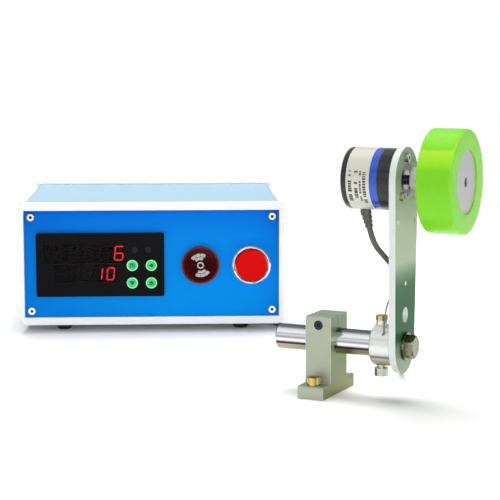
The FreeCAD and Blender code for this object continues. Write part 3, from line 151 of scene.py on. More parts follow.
def makeTone():
    # Uneven tone, worn edges that also carry a painted highlight, a little dust on what faces up, and a
    # painted reflection and shade on what faces down
    group, given, made = newGroup(
        "toneAndWear",
        [("Colour", colour, (1, 1, 1, 1)), ("Second Colour", colour, (1, 1, 1, 1)),
         ("Edge Colour", colour, (1, 1, 1, 1)), ("Dust Colour", colour, (1, 1, 1, 1)),
         ("Under Colour", colour, (1, 1, 1, 1)),
         ("Grain", number, 0.5), ("Edge", number, 0), ("Wear", number, 0), ("Dust", number, 0)],
        [("Colour", colour)])
    wide = newNode(group, "ShaderNodeMapRange", {"clamp": True},
                   {"From Min": 0.35, "From Max": 0.65}, Value=given.outputs["Grain"])
    toned = newNode(group, "ShaderNodeMix", {"data_type": "RGBA"}, Factor=wide.outputs["Result"],
                    in6=given.outputs["Colour"], in7=given.outputs["Second Colour"])
    # Edge colour is partly wear and partly a painted edge highlight; on the blue panel it is a darker
    # painted edge shade
    edgeWearAndLightMask = newNode(group, "ShaderNodeMath", {"operation": "MULTIPLY"},
                     in0=given.outputs["Edge"], in1=given.outputs["Wear"])
    wornAndPaintedEdges = newNode(group, "ShaderNodeMix", {"data_type": "RGBA"}, Factor=edgeWearAndLightMask.outputs["Value"],
                   in6=toned.outputs[2], in7=given.outputs["Edge Colour"])
    facing = newNode(group, "ShaderNodeNewGeometry")
    up = newNode(group, "ShaderNodeSeparateXYZ", Vector=facing.outputs["Normal"])
    settled = newNode(group, "ShaderNodeMath", {"operation": "MULTIPLY", "use_clamp": True},
                      in0=up.outputs["Z"], in1=given.outputs["Dust"])
    dusty = newNode(group, "ShaderNodeMix", {"data_type": "RGBA"}, Factor=settled.outputs["Value"],
                    in6=wornAndPaintedEdges.outputs[2], in7=given.outputs["Dust Colour"])
    # Painted reflection and shade: the underside colour is multiplied in where the surface looks down
    below = newNode(group, "ShaderNodeMapRange", {"clamp": True},
                    {"From Min": -0.1, "From Max": -0.6}, Value=up.outputs["Z"])
    under = newNode(group, "ShaderNodeMix", {"data_type": "RGBA", "blend_type": "MULTIPLY"},
                    Factor=below.outputs["Result"], in6=dusty.outputs[2],
                    in7=given.outputs["Under Colour"])
    group.links.new(under.outputs[2], made.inputs["Colour"])
    return group


grainGroup, softEdgeGroup, toneGroup = makeGrain(), makeSoftEdge(), makeTone()
dustColour = shade(200, 198, 190)
# Shader socket, its name in a look, and its value where the look has none
shaderSockets = (
    ("Metallic", "metal", 0), ("IOR", "ior", 1.5), ("Specular IOR Level", "specular", 0.5),
    ("Coat Weight", "coat", 0), ("Coat Roughness", "coatRough", 0.05),
    ("Transmission Weight", "clear", 0), ("Subsurface Weight", "inner", 0),
    ("Subsurface Scale", "innerDeep", 0.004), ("Sheen Weight", "sheen", 0),
)


def newFinish(name, look):
    # One finish: grain drives tone, gloss and bump, the soft edge carries wear and a painted highlight
    material = bpy.data.materials.new(name)
    material.use_nodes = True
    tree = material.node_tree
    shader = tree.nodes["Principled BSDF"]
    for socket, key, plain in shaderSockets:
        shader.inputs[socket].default_value = look.get(key, plain)
    grain = groupNode(tree, grainGroup, {
        "Size": look.get("grainSize", 500), "Stretch": look.get("stretch", (1, 1, 1)),
        "Turn": look.get("turn", (0, 0, 0))})
    edge = groupNode(tree, softEdgeGroup, {"Radius": look.get("edge", 0.0003)})
    tone = groupNode(tree, toneGroup, {
        "Colour": look["colour"], "Second Colour": look.get("second", look["colour"]),
        "Edge Colour": look.get("edgeColour", look["colour"]), "Dust Colour": dustColour,
        "Under Colour": look.get("under", (1, 1, 1, 1)),
        "Wear": look.get("wear", 0), "Dust": look.get("dust", 0)},
        Grain=grain.outputs["Grain"], Edge=edge.outputs["Edge"])
    tree.links.new(tone.outputs["Colour"], shader.inputs["Base Color"])
    rough, spread = look.get("rough", 0.4), look.get("roughSpread", 0.06)
    gloss = newNode(tree, "ShaderNodeMapRange", {"clamp": True},
                    {"From Min": 0.3, "From Max": 0.7, "To Min": rough - spread,
                     "To Max": rough + spread}, Value=grain.outputs["Grain"])
    tree.links.new(gloss.outputs["Result"], shader.inputs["Roughness"])
    bump = newNode(tree, "ShaderNodeBump", None,
                   {"Strength": look.get("bump", 0.1), "Distance": look.get("bumpDeep", 0.0001)},
                   Height=grain.outputs["Grain"], Normal=edge.outputs["Normal"])
    tree.links.new(bump.outputs["Normal"], shader.inputs["Normal"])
    return material


def ramp(tree, stops, source):
    # Stops are (place, tint), and a single number stands for a grey
    node = newNode(tree, "ShaderNodeValToRGB", Fac=source)
    made = node.color_ramp.elements
    full = [(place, (*tint, 1) if isinstance(tint, tuple) else (tint, tint, tint, 1))
            for place, tint in stops]
    made[0].position, made[0].color = full[0]
    made[1].position, made[1].color = full[-1]
    for place, tint in full[1:-1]:
        made.new(place).color = tint
    return node.outputs["Color"]


def along(tree, axis, low, high):
    # 0 to 1 between two heights, in metres, along one axis of the piece
    place = newNode(tree, "ShaderNodeTexCoord")
    parts = newNode(tree, "ShaderNodeSeparateXYZ", Vector=place.outputs["Object"])
    return newNode(tree, "ShaderNodeMapRange", {"clamp": True}, {"From Min": low, "From Max": high},
                   Value=parts.outputs[axis]).outputs["Result"]


def facing(tree, direction, low=0.5, high=0.9):
    # 1 where the piece's own surface looks the given way
    place = newNode(tree, "ShaderNodeTexCoord")
    agree = newNode(tree, "ShaderNodeVectorMath", {"operation": "DOT_PRODUCT"}, {1: direction},
                    in0=place.outputs["Normal"])
    return newNode(tree, "ShaderNodeMapRange", {"clamp": True}, {"From Min": low, "From Max": high},
                   Value=agree.outputs["Value"]).outputs["Result"]


def upward(tree):
    # 0 where the piece's own surface looks down, 1 where it looks up
    return facing(tree, (0, 0, 1), -1, 1)


def tintBy(material, tint, mask=None, share=1):
    # Multiplies the colour of a finish, all over or where the mask says
    tree = material.node_tree
    base = tree.nodes["Principled BSDF"].inputs["Base Color"]
    mix = newNode(tree, "ShaderNodeMix", {"data_type": "RGBA", "blend_type": "MULTIPLY"}, {0: share},
                  in6=base.links[0].from_socket)
    if isinstance(tint, tuple):
        mix.inputs[7].default_value = (*tint, 1)
    else:
        tree.links.new(tint, mix.inputs[7])
    if mask is not None:
        tree.links.new(mask, mix.inputs[0])
    tree.links.new(mix.outputs[2], base)


# Mesh helpers
def addPiece(name, build, material, body, smooth=35):
    mesh = bpy.data.meshes.new(name)
    bmesh.ops.recalc_face_normals(build, faces=build.faces)
    build.to_mesh(mesh)
    build.free()
    mesh.shade_smooth()
    mesh.set_sharp_from_angle(angle=math.radians(smooth))
    mesh.materials.append(material)
    piece = bpy.data.objects.new(name, mesh)
    scene.collection.objects.link(piece)
    if body:
        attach(piece, body)
    return piece


def roundCorners(profile, radius, steps=4):
    # Softens the corners of an open profile
    made = [Vector(profile[0])]
    for before, corner, after in zip(profile, profile[1:], profile[2:]):
        before, corner, after = Vector(before), Vector(corner), Vector(after)
        reach = min(radius, (before - corner).length * 0.45, (after - corner).length * 0.45)
        start = corner + (before - corner).normalized() * reach
        end = corner + (after - corner).normalized() * reach
        for step in range(steps + 1):
            t = step / steps
            made.append(start.lerp(corner, t).lerp(corner.lerp(end, t), t))
    made.append(Vector(profile[-1]))
    return made


def latheInto(build, profile, steps, matrix):
    # Profile is (radius, along the axis) in millimetres; closes where the radius is 0
    rings = []
    for radius, high in profile:
        if radius < weldNear:
            rings.append([build.verts.new(Vector((0, 0, high * mm)))])
            continue
        rings.append([
            build.verts.new(Vector((math.cos(turn) * radius, math.sin(turn) * radius, high)) * mm)
            for turn in (2 * math.pi * step / steps for step in range(steps))
        ])
    for low, high in zip(rings, rings[1:]):
        for step in range(steps):
            after = (step + 1) % steps
            corners = [low[step % len(low)], low[after % len(low)],
                       high[after % len(high)], high[step % len(high)]]
            corners = list(dict.fromkeys(corners))
            if len(corners) > 2:
                build.faces.new(corners)
    bmesh.ops.transform(build, matrix=matrix, verts=[vertex for ring in rings for vertex in ring])


def prismInto(build, outline, low, high, matrix):
    # A flat outline in millimetres, raised from low to high
    under = [build.verts.new(Vector((x, y, low)) * mm) for x, y in outline]
    over = [build.verts.new(Vector((x, y, high)) * mm) for x, y in outline]
    build.faces.new(under[::-1])
    build.faces.new(over)
    for here in range(len(outline)):
        after = (here + 1) % len(outline)
        build.faces.new([under[here], under[after], over[after], over[here]])
    bmesh.ops.transform(build, matrix=matrix, verts=under + over)


def sweepInto(build, line, radius, sides):
    # A round section carried along a line without twisting
    side = None
    rings = []
    for here, spot in enumerate(line):
        ahead = (line[min(here + 1, len(line) - 1)] - line[max(here - 1, 0)]).normalized()
        if side is None:
            side = ahead.orthogonal().normalized()
        side = (side - ahead * side.dot(ahead)).normalized()
        other = ahead.cross(side)
        rings.append([
            build.verts.new(spot + (side * math.cos(turn) + other * math.sin(turn)) * radius)
            for turn in (2 * math.pi * step / sides for step in range(sides))
        ])
    for low, high in zip(rings, rings[1:]):
        for step in range(sides):
            after = (step + 1) % sides
            build.faces.new([low[step], low[after], high[after], high[step]])
    build.faces.new(rings[0][::-1])
    build.faces.new(rings[-1])


def splineLine(name, route, finer=10):
    # The smooth line of a NURBS spline through its control points
    curve = bpy.data.curves.new(name, "CURVE")
    curve.dimensions = "3D"
    spline = curve.splines.new("NURBS")
    spline.points.add(len(route) - 1)
    for point, place in zip(spline.points, route):
        point.co = (*place, 1)
    spline.order_u = 3
    spline.use_endpoint_u = True
    curve.resolution_u = finer
    spline.resolution_u = finer
    holder = bpy.data.objects.new(name, curve)
    mesh = bpy.data.meshes.new_from_object(holder)
    line = [vertex.co.copy() for vertex in mesh.vertices]
    bpy.data.objects.remove(holder)
    bpy.data.meshes.remove(mesh)
    return line


facingFront = Matrix.Rotation(math.radians(90), 4, "X")    # the axis of a turned piece to the viewer
alongStand = Matrix.Rotation(math.radians(90), 4, "Y")     # and to the right of the stand


def onCase(x, y, z):
    return Matrix.Translation(Vector((x, y, z)) * mm) @ facingFront


def onStand(x, y, z):
    return standFrame @ Matrix.Translation(Vector((x, y, z)) * mm) @ alongStand


def dress(names, material):
    for name in names.split():
        for slotHolder in nodes[name].material_slots:
            slotHolder.material = material


# Camera, fitted to the case, the block and the wheel
cameraSet = {
    "place": (-95.96, -996.87, 223.12), "turn": 0.048, "tilt": 0.1322, "lens": 116.49, "sensor": 36,
}
cameraData = bpy.data.cameras.new("camera")
cameraData.lens, cameraData.sensor_width = cameraSet["lens"], cameraSet["sensor"]
cameraData.clip_start, cameraData.clip_end = 0.05, 50
camera = bpy.data.objects.new("camera", cameraData)
camera.location = Vector(cameraSet["place"]) * mm
camera.rotation_euler = (math.pi / 2 - cameraSet["tilt"], 0, -cameraSet["turn"])
scene.collection.objects.link(camera)
scene.camera = camera
print("camera placed")

# Cable: route in millimetres, the same points as the part's own
cableLook = {
    "radius": 1.75, "sides": 20, "coilSide": -75, "coilBack": 487, "coilOuter": 24, "pitch": 4,
    "rise": 4, "turnsIn": 2.5, "turnsOut": 2, "pointsPerTurn": 24,
    "dropLength": 160.5, "lyingLength": 1218.8,
}
dropRoute = [
    (24.81, -13.32, 105.94), (26.94, -14.46, 96.24), (33.8, -13.2, 88.2), (42.3, -9, 78.5),
    (48, -2.5, 61), (50.5, 9, 38), (52.5, 28, 16.5), (54.6, 51, 1.75), (57.4, 77, 1.75),
]
floorRoute = [
    (57.4, 77, 1.75), (60.2, 103, 1.75), (57, 134, 1.75), (41, 161, 1.75), (18, 183, 1.75),
    (-3, 205, 1.75), (-16, 229, 1.75), (-21, 262, 1.75), (-23, 305, 1.75), (-23, 350, 1.75),
    (-25, 392, 1.75), (-27, 425, 1.75), (-29, 462, 1.75), (-33, 484, 1.75), (-41, 503, 1.75),
    (-55.5, 511, 1.75), (-70.5, 511, 1.75),
]
tailRoute = [
    (-79.5, 509, 5.75), (-99, 509, 5.75), (-122, 511, 2.5), (-143, 509, 4.5), (-156.5, 497, 15),
    (-161.5, 478, 33), (-162.5, 456, 51), (-162.5, 435.95, 51),
]


def coilRoute():
    # Wound in on the bench, climbs half a turn and winds out again on top
    look = cableLook
    quarter = look["pointsPerTurn"] // 4
    low, high = round(4 * look["turnsIn"]), round(4 * look["turnsOut"])
    made = []
    for count in range(1, (low + 2 + high) * quarter):
        step = count / quarter
        wound = min(step, 2 * (low + 1) - step)
        radius = look["coilOuter"] - look["pitch"] * wound / 4
        turn = math.pi / 2 * (1 + step)
        climb = min(max(step - low, 0), 2) / 2
        climb = climb * climb * (3 - 2 * climb)
        made.append((look["coilSide"] + radius * math.cos(turn),
                     look["coilBack"] + radius * math.sin(turn), look["radius"] + look["rise"] * climb))
    return made


cableMaterial = newFinish("cableJacket", {
    "colour": shade(96, 92, 80), "second": shade(78, 75, 66), "edgeColour": shade(120, 116, 104),
    "rough": 0.42, "roughSpread": 0.08, "grainSize": 900, "bump": 0.25, "bumpDeep": 0.00006,
    "edge": 0.0001, "dust": 0.08, "sheen": 0.1})


def makeCord(name, route):
    line = splineLine(name, [Vector(point) * mm for point in route])
    build = bmesh.new()
    sweepInto(build, line, cableLook["radius"] * mm, cableLook["sides"])
    return addPiece(name, build, cableMaterial, None, 60), line


cableDrop, dropLine = makeCord("cableDrop", dropRoute)
lyingPoints = floorRoute + coilRoute() + tailRoute
cableLying, lyingLine = makeCord("cableLying", lyingPoints)
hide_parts("encoder_cable")
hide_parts("cable_run", "cable_coil", "cable_tail")
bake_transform(cableDrop)
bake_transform(cableLying)
print("cable laid")


# Case: painted frames, cover and panels
panelSpan = {"left": -0.207, "right": -0.016, "low": 0.014, "high": 0.0925}


def dressCase():
    dress("end_frames", newFinish("whiteFrame", {
        "colour": shade(246, 247, 249), "second": shade(240, 242, 245), "rough": 0.34,
        "roughSpread": 0.05, "grainSize": 1400, "bump": 0.12, "bumpDeep": 0.00005, "edge": 0.0008,
        "edgeColour": shade(252, 252, 253), "wear": 0.4, "specular": 0.3}))
    dress("case_cover case_tray", newFinish("paleCover", {
        "colour": shade(162, 194, 212), "second": shade(158, 191, 210), "rough": 0.38,
        "grainSize": 1600, "bump": 0.14, "bumpDeep": 0.00005, "edge": 0.0006,
        "edgeColour": shade(225, 240, 248), "wear": 0.5, "specular": 0.15}))
    panel = newFinish("bluePanel", {
        "colour": shade(0, 138, 228), "second": shade(0, 143, 232), "rough": 0.36,
        "roughSpread": 0.05, "grainSize": 1500, "bump": 0.1, "bumpDeep": 0.00004, "edge": 0.0003,
        "edgeColour": shade(4, 100, 180), "wear": 0.3, "specular": 0.03})
    tree = panel.node_tree
    # Painted shade: darker towards both ends, and darker upwards to a painted shadow under the frame's
    # top lip
    across = along(tree, "X", panelSpan["left"], panelSpan["right"])
    upThere = along(tree, "Z", panelSpan["low"], panelSpan["high"])
    tintBy(panel, ramp(tree, [(0, (0.5, 0.6, 0.82)), (0.25, (0.9, 0.82, 0.94)), (0.6, 1),
                              (0.9, (1, 0.96, 1)), (1, (0.8, 0.66, 0.9))], across), share=0.7)
    tintBy(panel, ramp(tree, [(0, (1, 1.06, 1.04)), (0.3, 1), (0.75, (0.9, 0.84, 0.96)),
                              (0.96, (0.7, 0.56, 0.86)), (1, (0.4, 0.3, 0.6))], upThere), share=0.8)
    dress("front_panel rear_panel", panel)
    dress("rubber_feet", newFinish("blackRubber", {
        "colour": shade(20, 20, 21), "second": shade(27, 27, 28), "rough": 0.62, "roughSpread": 0.1,
        "grainSize": 1800, "bump": 0.4, "bumpDeep": 0.00006, "edge": 0.0006,
        "edgeColour": shade(48, 48, 49), "wear": 0.5, "dust": 0.1}))
    dress("cable_boot", newFinish("bootRubber", {
        "colour": shade(92, 88, 76), "second": shade(76, 73, 64), "rough": 0.5, "grainSize": 1500,
        "bump": 0.25, "bumpDeep": 0.00006, "edge": 0.0003, "edgeColour": shade(125, 120, 106),
        "wear": 0.5}))


dressCase()
print("case finished")


def steelFinish(name, tint, rough, stretch=(1, 1, 1), size=600, turn=(0, 0, 0), **more):
    look = {
        "colour": tint, "second": tuple(part * 0.88 for part in tint[:3]) + (1,), "metal": 1,
        "rough": rough, "roughSpread": rough * 0.25, "grainSize": size, "stretch": stretch,
        "turn": turn, "bump": 0.08, "bumpDeep": 0.00004, "edge": 0.0003,
        "edgeColour": tuple(min(1, part * 1.25) for part in tint[:3]) + (1,), "wear": 0.6,
    }
    look.update(more)
    return newFinish(name, look)


# Metal of the stand: where the painted reflection ramps of the block and the arm start and end, in
# metres
blockSpan, armSpan = (0, 0.05), (0.0165, 0.156)


def dressStand():
    turn = (0, 0, -standTurn)
    right = (math.cos(standTurn), math.sin(standTurn), 0)
    top = (0, 0, 1)
    viewerSide = (-0.5, -0.866, 0)
    # Painted warm reflection and shade for the undersides of the screws
    undersidePaintedLight = (0.66, 0.6, 0.36, 1)

    block = steelFinish("blockAluminium", shade(178, 184, 164), 0.42, (6, 1, 1), 1100, turn,
                        metal=0.4, bump=0.12, edge=0.0007, edgeColour=shade(236, 242, 230),
                        wear=1, specular=0.25, roughSpread=0.04)
    tree = block.node_tree
    # Painted reflection: a golden to green ramp up the side that looks to the stand's right, and a green
    # tint on the top faces
    sidePaintedReflection = ramp(tree, [(0, (0.62, 0.58, 0.3)), (0.2, (0.64, 0.64, 0.38)), (0.5, (0.64, 0.74, 0.5)),
                         (1, (0.55, 0.72, 0.58))], along(tree, "Z", *blockSpan))
    tintBy(block, sidePaintedReflection, facing(tree, right))
    tintBy(block, (0.6, 0.72, 0.6), facing(tree, top))
    dress("mount_block", block)

    arm = steelFinish("armAluminium", shade(222, 229, 224), 0.3, (8, 8, 0.3), 600, turn,
                      metal=0.15, bump=0.02, second=shade(219, 226, 221), roughSpread=0.02,
                      specular=0.02, edgeColour=shade(240, 246, 242))
    tree = arm.node_tree
    # Painted green reflection: a ramp up the face that looks to the stand's right, darkest in its lower
    # middle
    greenPaintedReflection = ramp(tree, [
        (0, (0.52, 0.56, 0.42)), (0.11, (0.38, 0.44, 0.33)), (0.16, (0.05, 0.18, 0.075)),
        (0.32, (0.05, 0.17, 0.07)), (0.4, (0.07, 0.2, 0.09)), (0.455, (0.28, 0.42, 0.28)),
        (0.5, (0.62, 0.66, 0.5)), (0.8, (0.74, 0.74, 0.62)), (0.9, (0.58, 0.64, 0.5)),
        (1, (0.7, 0.76, 0.66))], along(tree, "Z", *armSpan))
    tintBy(arm, greenPaintedReflection, facing(tree, right))
    dress("swing_arm", arm)

    # Round metal takes painted reflection bands from how far the surface looks up
    hub = steelFinish("hubAluminium", shade(232, 234, 230), 0.25, (20, 0.3, 0.3), 900, turn,
                      metal=0.6, bump=0.02, roughSpread=0.02, second=shade(228, 230, 226))
    tintBy(hub, ramp(hub.node_tree, [
        (0, (0.5, 0.42, 0.22)), (0.16, (0.6, 0.52, 0.32)), (0.2, (0.86, 0.84, 0.78)),
        (0.27, (0.22, 0.23, 0.23)), (0.33, (0.86, 0.88, 0.9)), (0.45, 1),
        (1, (0.92, 0.94, 0.92))], upward(hub.node_tree)))
    dress("spring_hub", hub)
    rod = steelFinish("rodChrome", shade(246, 246, 250), 0.16, (20, 0.3, 0.3), 900, turn, bump=0.01)
    tintBy(rod, ramp(rod.node_tree, [
        (0, (0.2, 0.18, 0.1)), (0.1, (0.4, 0.36, 0.22)), (0.27, (0.5, 0.45, 0.28)),
        (0.3, (0.05, 0.045, 0.07)), (0.37, (0.05, 0.05, 0.08)), (0.4, (0.62, 0.6, 0.62)), (0.47, 1),
        (0.54, (0.5, 0.5, 0.53)), (0.62, (0.68, 0.68, 0.74)), (0.68, 1), (0.86, 1),
        (0.92, (0.2, 0.23, 0.24)), (1, (0.13, 0.16, 0.16))], upward(rod.node_tree)))
    dress("support_rod", rod)
    # The bolt and washer also take painted reflection bands from how far the surface looks up
    bolt = steelFinish("boltSteel", shade(136, 138, 118), 0.28, size=900, edge=0.0005)
    tintBy(bolt, ramp(bolt.node_tree, [
        (0, (1.1, 1, 0.8)), (0.12, (0.9, 0.85, 0.6)), (0.2, (0.35, 0.36, 0.24)),
        (0.4, (0.4, 0.42, 0.3)), (0.49, (1, 1, 0.95)), (0.52, (1, 1, 0.95)), (0.62, 1.5),
        (0.8, (0.25, 0.3, 0.2)), (1, (0.3, 0.36, 0.26))], upward(bolt.node_tree)))
    dress("pivot_washer pivot_bolt", bolt)
    # Zinc screws: painted highlight bands by how far the surface looks toward the viewer's side, and
    # painted shade on the top faces
    zinc = steelFinish("zincSteel", shade(226, 214, 166), 0.16, size=900, bump=0.02, under=undersidePaintedLight)
    tree = zinc.node_tree
    tintBy(zinc, ramp(tree, [
        (0, (0.5, 0.42, 0.22)), (0.3, (0.95, 0.86, 0.55)), (0.42, (0.26, 0.2, 0.07)),
        (0.6, (0.9, 0.82, 0.5)), (0.72, (1, 1, 0.9)), (0.84, (0.34, 0.27, 0.1)),
        (1, (0.8, 0.7, 0.4))], facing(tree, viewerSide, -0.4, 1)))
    tintBy(zinc, (0.5, 0.42, 0.2), facing(tree, top))
    dress("base_screws hub_top_screw", zinc)

    dress("wheel_core", newFinish("discAluminium", {
        "colour": shade(196, 194, 196), "second": shade(189, 187, 190), "metal": 0.5, "rough": 0.42,
        "roughSpread": 0.1, "grainSize": 1600, "bump": 0.3, "bumpDeep": 0.00006, "edge": 0.0004,
        "edgeColour": shade(235, 235, 238), "wear": 0.8}))
    dress("hub_lock_screw spring_pin encoder_screws wheel_set_screw",
          steelFinish("screwSteel", shade(188, 190, 178), 0.24, size=900, under=undersidePaintedLight))
    # Painted shade: the shaft end deep in the wheel bore and the recessed clamp screw are made dark
    dress("encoder_shaft block_clamp_screw",
          steelFinish("shaftSteel", shade(58, 60, 72), 0.3, size=900))
    dress("encoder_bearings", steelFinish("bearingSteel", shade(170, 172, 175), 0.2))
    dress("arm_bush", steelFinish("bushBrass", shade(196, 160, 92), 0.28))


dressStand()
print("stand finished")


# Screws of the case: bright below, yellow zinc above, with painted shade in the sockets
def dressCaseScrews():
    screws = steelFinish("panelScrews", shade(228, 229, 232), 0.22, size=900)
    tree = screws.node_tree
    yellow = (0.78, 0.68, 0.42)
    tintBy(screws, ramp(tree, [(0, 1), (0.5, 1), (0.52, yellow), (1, yellow)], along(tree, "Z", 0, 0.1)))
    # Painted shade: near black deeper than the head faces, in the sockets
    low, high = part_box("case_screws")
    proud, fade = 0.0003, 0.0002
    behindFront = along(tree, "Y", low.y + proud, low.y + proud + fade)
    beforeRear = along(tree, "Y", high.y - proud, high.y - proud - fade)
    socketPaintedShade = newNode(tree, "ShaderNodeMath", {"operation": "MULTIPLY"}, in0=behindFront, in1=beforeRear)
    tintBy(screws, (0.04, 0.04, 0.05), socketPaintedShade.outputs["Value"])
    dress("case_screws", screws)


dressCaseScrews()


# Meter: bezel, smoked windows, segments, lamps and keys
def plastic(name, tint, rough, **more):
    look = {
        "colour": tint, "second": tuple(min(1, part * 1.15) for part in tint[:3]) + (1,), "rough": rough,
        "grainSize": 1500, "bump": 0.18, "bumpDeep": 0.00005, "edge": 0.0004,
        "edgeColour": tuple(min(1, part * 1.8 + 0.01) for part in tint[:3]) + (1,), "wear": 0.5,
    }
    look.update(more)
    return newFinish(name, look)


dress("meter_bezel meter_case meter_clips panel_nuts button_contact_block mains_inlet switch_frame "
      "power_rocker", plastic("blackPlastic", shade(8, 8, 12), 0.36, specular=0.05))
smoked = bpy.data.materials.new("smokedPane")
smoked.use_nodes = True
for socket, value in (("Base Color", shade(120, 104, 106)), ("Roughness", 0), ("IOR", 1.16),
                      ("Transmission Weight", 1)):
    smoked.node_tree.nodes["Principled BSDF"].inputs[socket].default_value = value
dress("meter_window", smoked)
dress("digit_displays", plastic("displayBlack", shade(12, 8, 9), 0.5, specular=0.1))
dress("meter_board encoder_board", plastic("boardGreen", shade(24, 84, 52), 0.4))
dress("alarm_lamps", plastic("lampOff", shade(16, 20, 20), 0.3, specular=0.12))


def glowFinish(name, tint, strength, **more):
    look = {"colour": tint, "second": tuple(part * 0.9 for part in tint[:3]) + (1,), "rough": 0.4,
            "bump": 0.02, "edge": 0.0001}
    look.update(more)
    material = newFinish(name, look)
    shader = material.node_tree.nodes["Principled BSDF"]
    shader.inputs["Emission Color"].default_value = tint
    shader.inputs["Emission Strength"].default_value = strength
    return material


digitLook = {
    "front": 213.45, "deep": 0.15, "bar": 0.98, "gap": 0.12, "lean": math.tan(math.radians(6)),
    "upper": {"left": 70.9, "low": 48.6, "wide": 7.1, "tall": 11.2, "pitch": 11.4},
    "lower": {"left": 65.1, "low": 33.6, "wide": 6, "tall": 9.9, "pitch": 9},
}
segmentsOf = {"0": "abcdef", "1": "bc", "6": "acdefg", "": ""}


def segmentBars(wide, tall):
    # Ends of the seven bars, as (x, z) pairs
    half = tall / 2
    return {
        "a": ((0, tall), (wide, tall)), "g": ((0, half), (wide, half)), "d": ((0, 0), (wide, 0)),
        "f": ((0, half), (0, tall)), "b": ((wide, half), (wide, tall)),
        "e": ((0, 0), (0, half)), "c": ((wide, 0), (wide, half)),
    }


def barOutline(start, end, bar, gap):
    start, end = Vector(start), Vector(end)
    ahead = (end - start).normalized()
    side = Vector((-ahead.y, ahead.x)) * bar / 2
    start, end = start + ahead * gap, end - ahead * gap
    inner = ahead * bar / 2
    return [start, start + inner + side, end - inner + side,
            end, end - inner - side, start + inner - side]


def makeDigits():
    lit = glowFinish("litSegment", shade(255, 52, 70), 5)
    unlit = plastic("unlitSegment", shade(34, 18, 20), 0.5)
    look = digitLook
    litBuild, unlitBuild = bmesh.new(), bmesh.new()
    for row, shown in (("upper", ["6", "", "", "", ""]), ("lower", ["0", "1", "", "", ""])):
        size = look[row]
        bars = segmentBars(size["wide"] - look["bar"], size["tall"] - look["bar"])
        for place, figure in enumerate(shown):
            for name, (start, end) in bars.items():
                corners = []
                for point in barOutline(start, end, look["bar"], look["gap"]):
                    up = point.y + look["bar"] / 2
                    x = (caseLeft + size["left"] - place * size["pitch"] + point.x + look["bar"] / 2
                         + (up - size["tall"] / 2) * look["lean"])
                    corners.append((x, caseLow + size["low"] + up))
                target = litBuild if name in segmentsOf[figure] else unlitBuild
                matrix = Matrix.Translation((0, look["front"] * mm, 0)) @ facingFront
                prismInto(target, corners, -look["deep"], 0, matrix)
    addPiece("litSegments", litBuild, lit, "base")
    addPiece("unlitSegments", unlitBuild, unlit, "base")


makeDigits()

keyLook = {
    "ringOuter": 4.05, "ringInner": 3.45, "ringRound": 0.15, "sink": 0.05, "ringProud": 0.16,
    "shoulderShare": 0.7, "iconProud": 0.1, "steps": 64,
}


def signBar(left, low, right, high):
    return [(left, low), (right, low), (right, high), (left, high)]


keySigns = {
    "menu": [signBar(-1.7, -1.5, -1.1, 1.5), signBar(-0.3, -1.5, 0.3, 1.5), signBar(1.1, -1.5, 1.7, 1.5),
             signBar(-1.1, 0.9, -0.3, 1.5), signBar(0.3, 0.9, 1.1, 1.5)],
    "shift": [[(-2, 0), (0.9, -1.7), (0.9, 1.7)], signBar(1.15, -1.2, 1.6, 1.2)],
    "down": [[(-1.9, 0.6), (0, -1.4), (1.9, 0.6)], signBar(-1.9, 1, 1.9, 1.5)],
    "up": [[(-1.9, -0.4), (1.9, -0.4), (0, 1.6)], signBar(-1.9, -1.4, 1.9, -0.9)],
}


def makeKeys():
    look = keyLook
    # The keys and their rings carry a faint emission: a painted glow
    green = glowFinish("keyGreen", shade(38, 196, 104), 0.12, rough=0.3, second=shade(34, 186, 98))
    ring = glowFinish("keyRing", shade(150, 244, 184), 0.2, rough=0.35)
    dark = plastic("keyIcon", shade(4, 66, 28), 0.4, specular=0.15)
    dress("key_menu key_shift key_down key_up", green)
    inner, outer, sink = look["ringInner"], look["ringOuter"], look["sink"]
    proud, shoulder = look["ringProud"], look["ringProud"] * look["shoulderShare"]
    for name, outlines in keySigns.items():
        low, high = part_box("key_" + name)
        centre = (low + high) / 2 / mm
        spot = onCase(centre.x, low.y / mm, centre.z)
        build = bmesh.new()
        profile = [(inner, -sink), (inner, shoulder), (inner + look["ringRound"], proud),
                   (outer - look["ringRound"], proud), (outer, shoulder), (outer, -sink), (inner, -sink)]
        latheInto(build, profile, look["steps"], spot)
        bmesh.ops.remove_doubles(build, verts=build.verts, dist=weldNear)
        addPiece(name + "KeyRing", build, ring, name + "_key")
        build = bmesh.new()
        for outline in outlines:
            prismInto(build, outline, -sink, look["iconProud"], spot)
        addPiece(name + "KeyIcon", build, dark, name + "_key")


makeKeys()
print("meter finished")

# Buzzer: domed red lens with a silver fan behind the gloss
buzzerLook = {
    "lensRadius": 12.9, "sink": 2.6, "dome": 1.1, "rimDrop": 0.4, "rimRound": 0.5, "domeRise": 0.75,
    "domeSteps": 10, "fanTurn": 103, "fanHalf": 40, "fanTaper": 6, "fanSlit": 1.2, "fanSink": 0.1,
    "fanProud": 0.11, "bands": ((4.1, 6.2), (6.6, 8.9)), "ringOuter": 2.6, "ringInner": 1.5,
    "ringProud": 0.2, "lensSteps": 96, "ringSteps": 48, "arcSteps": 8,
}


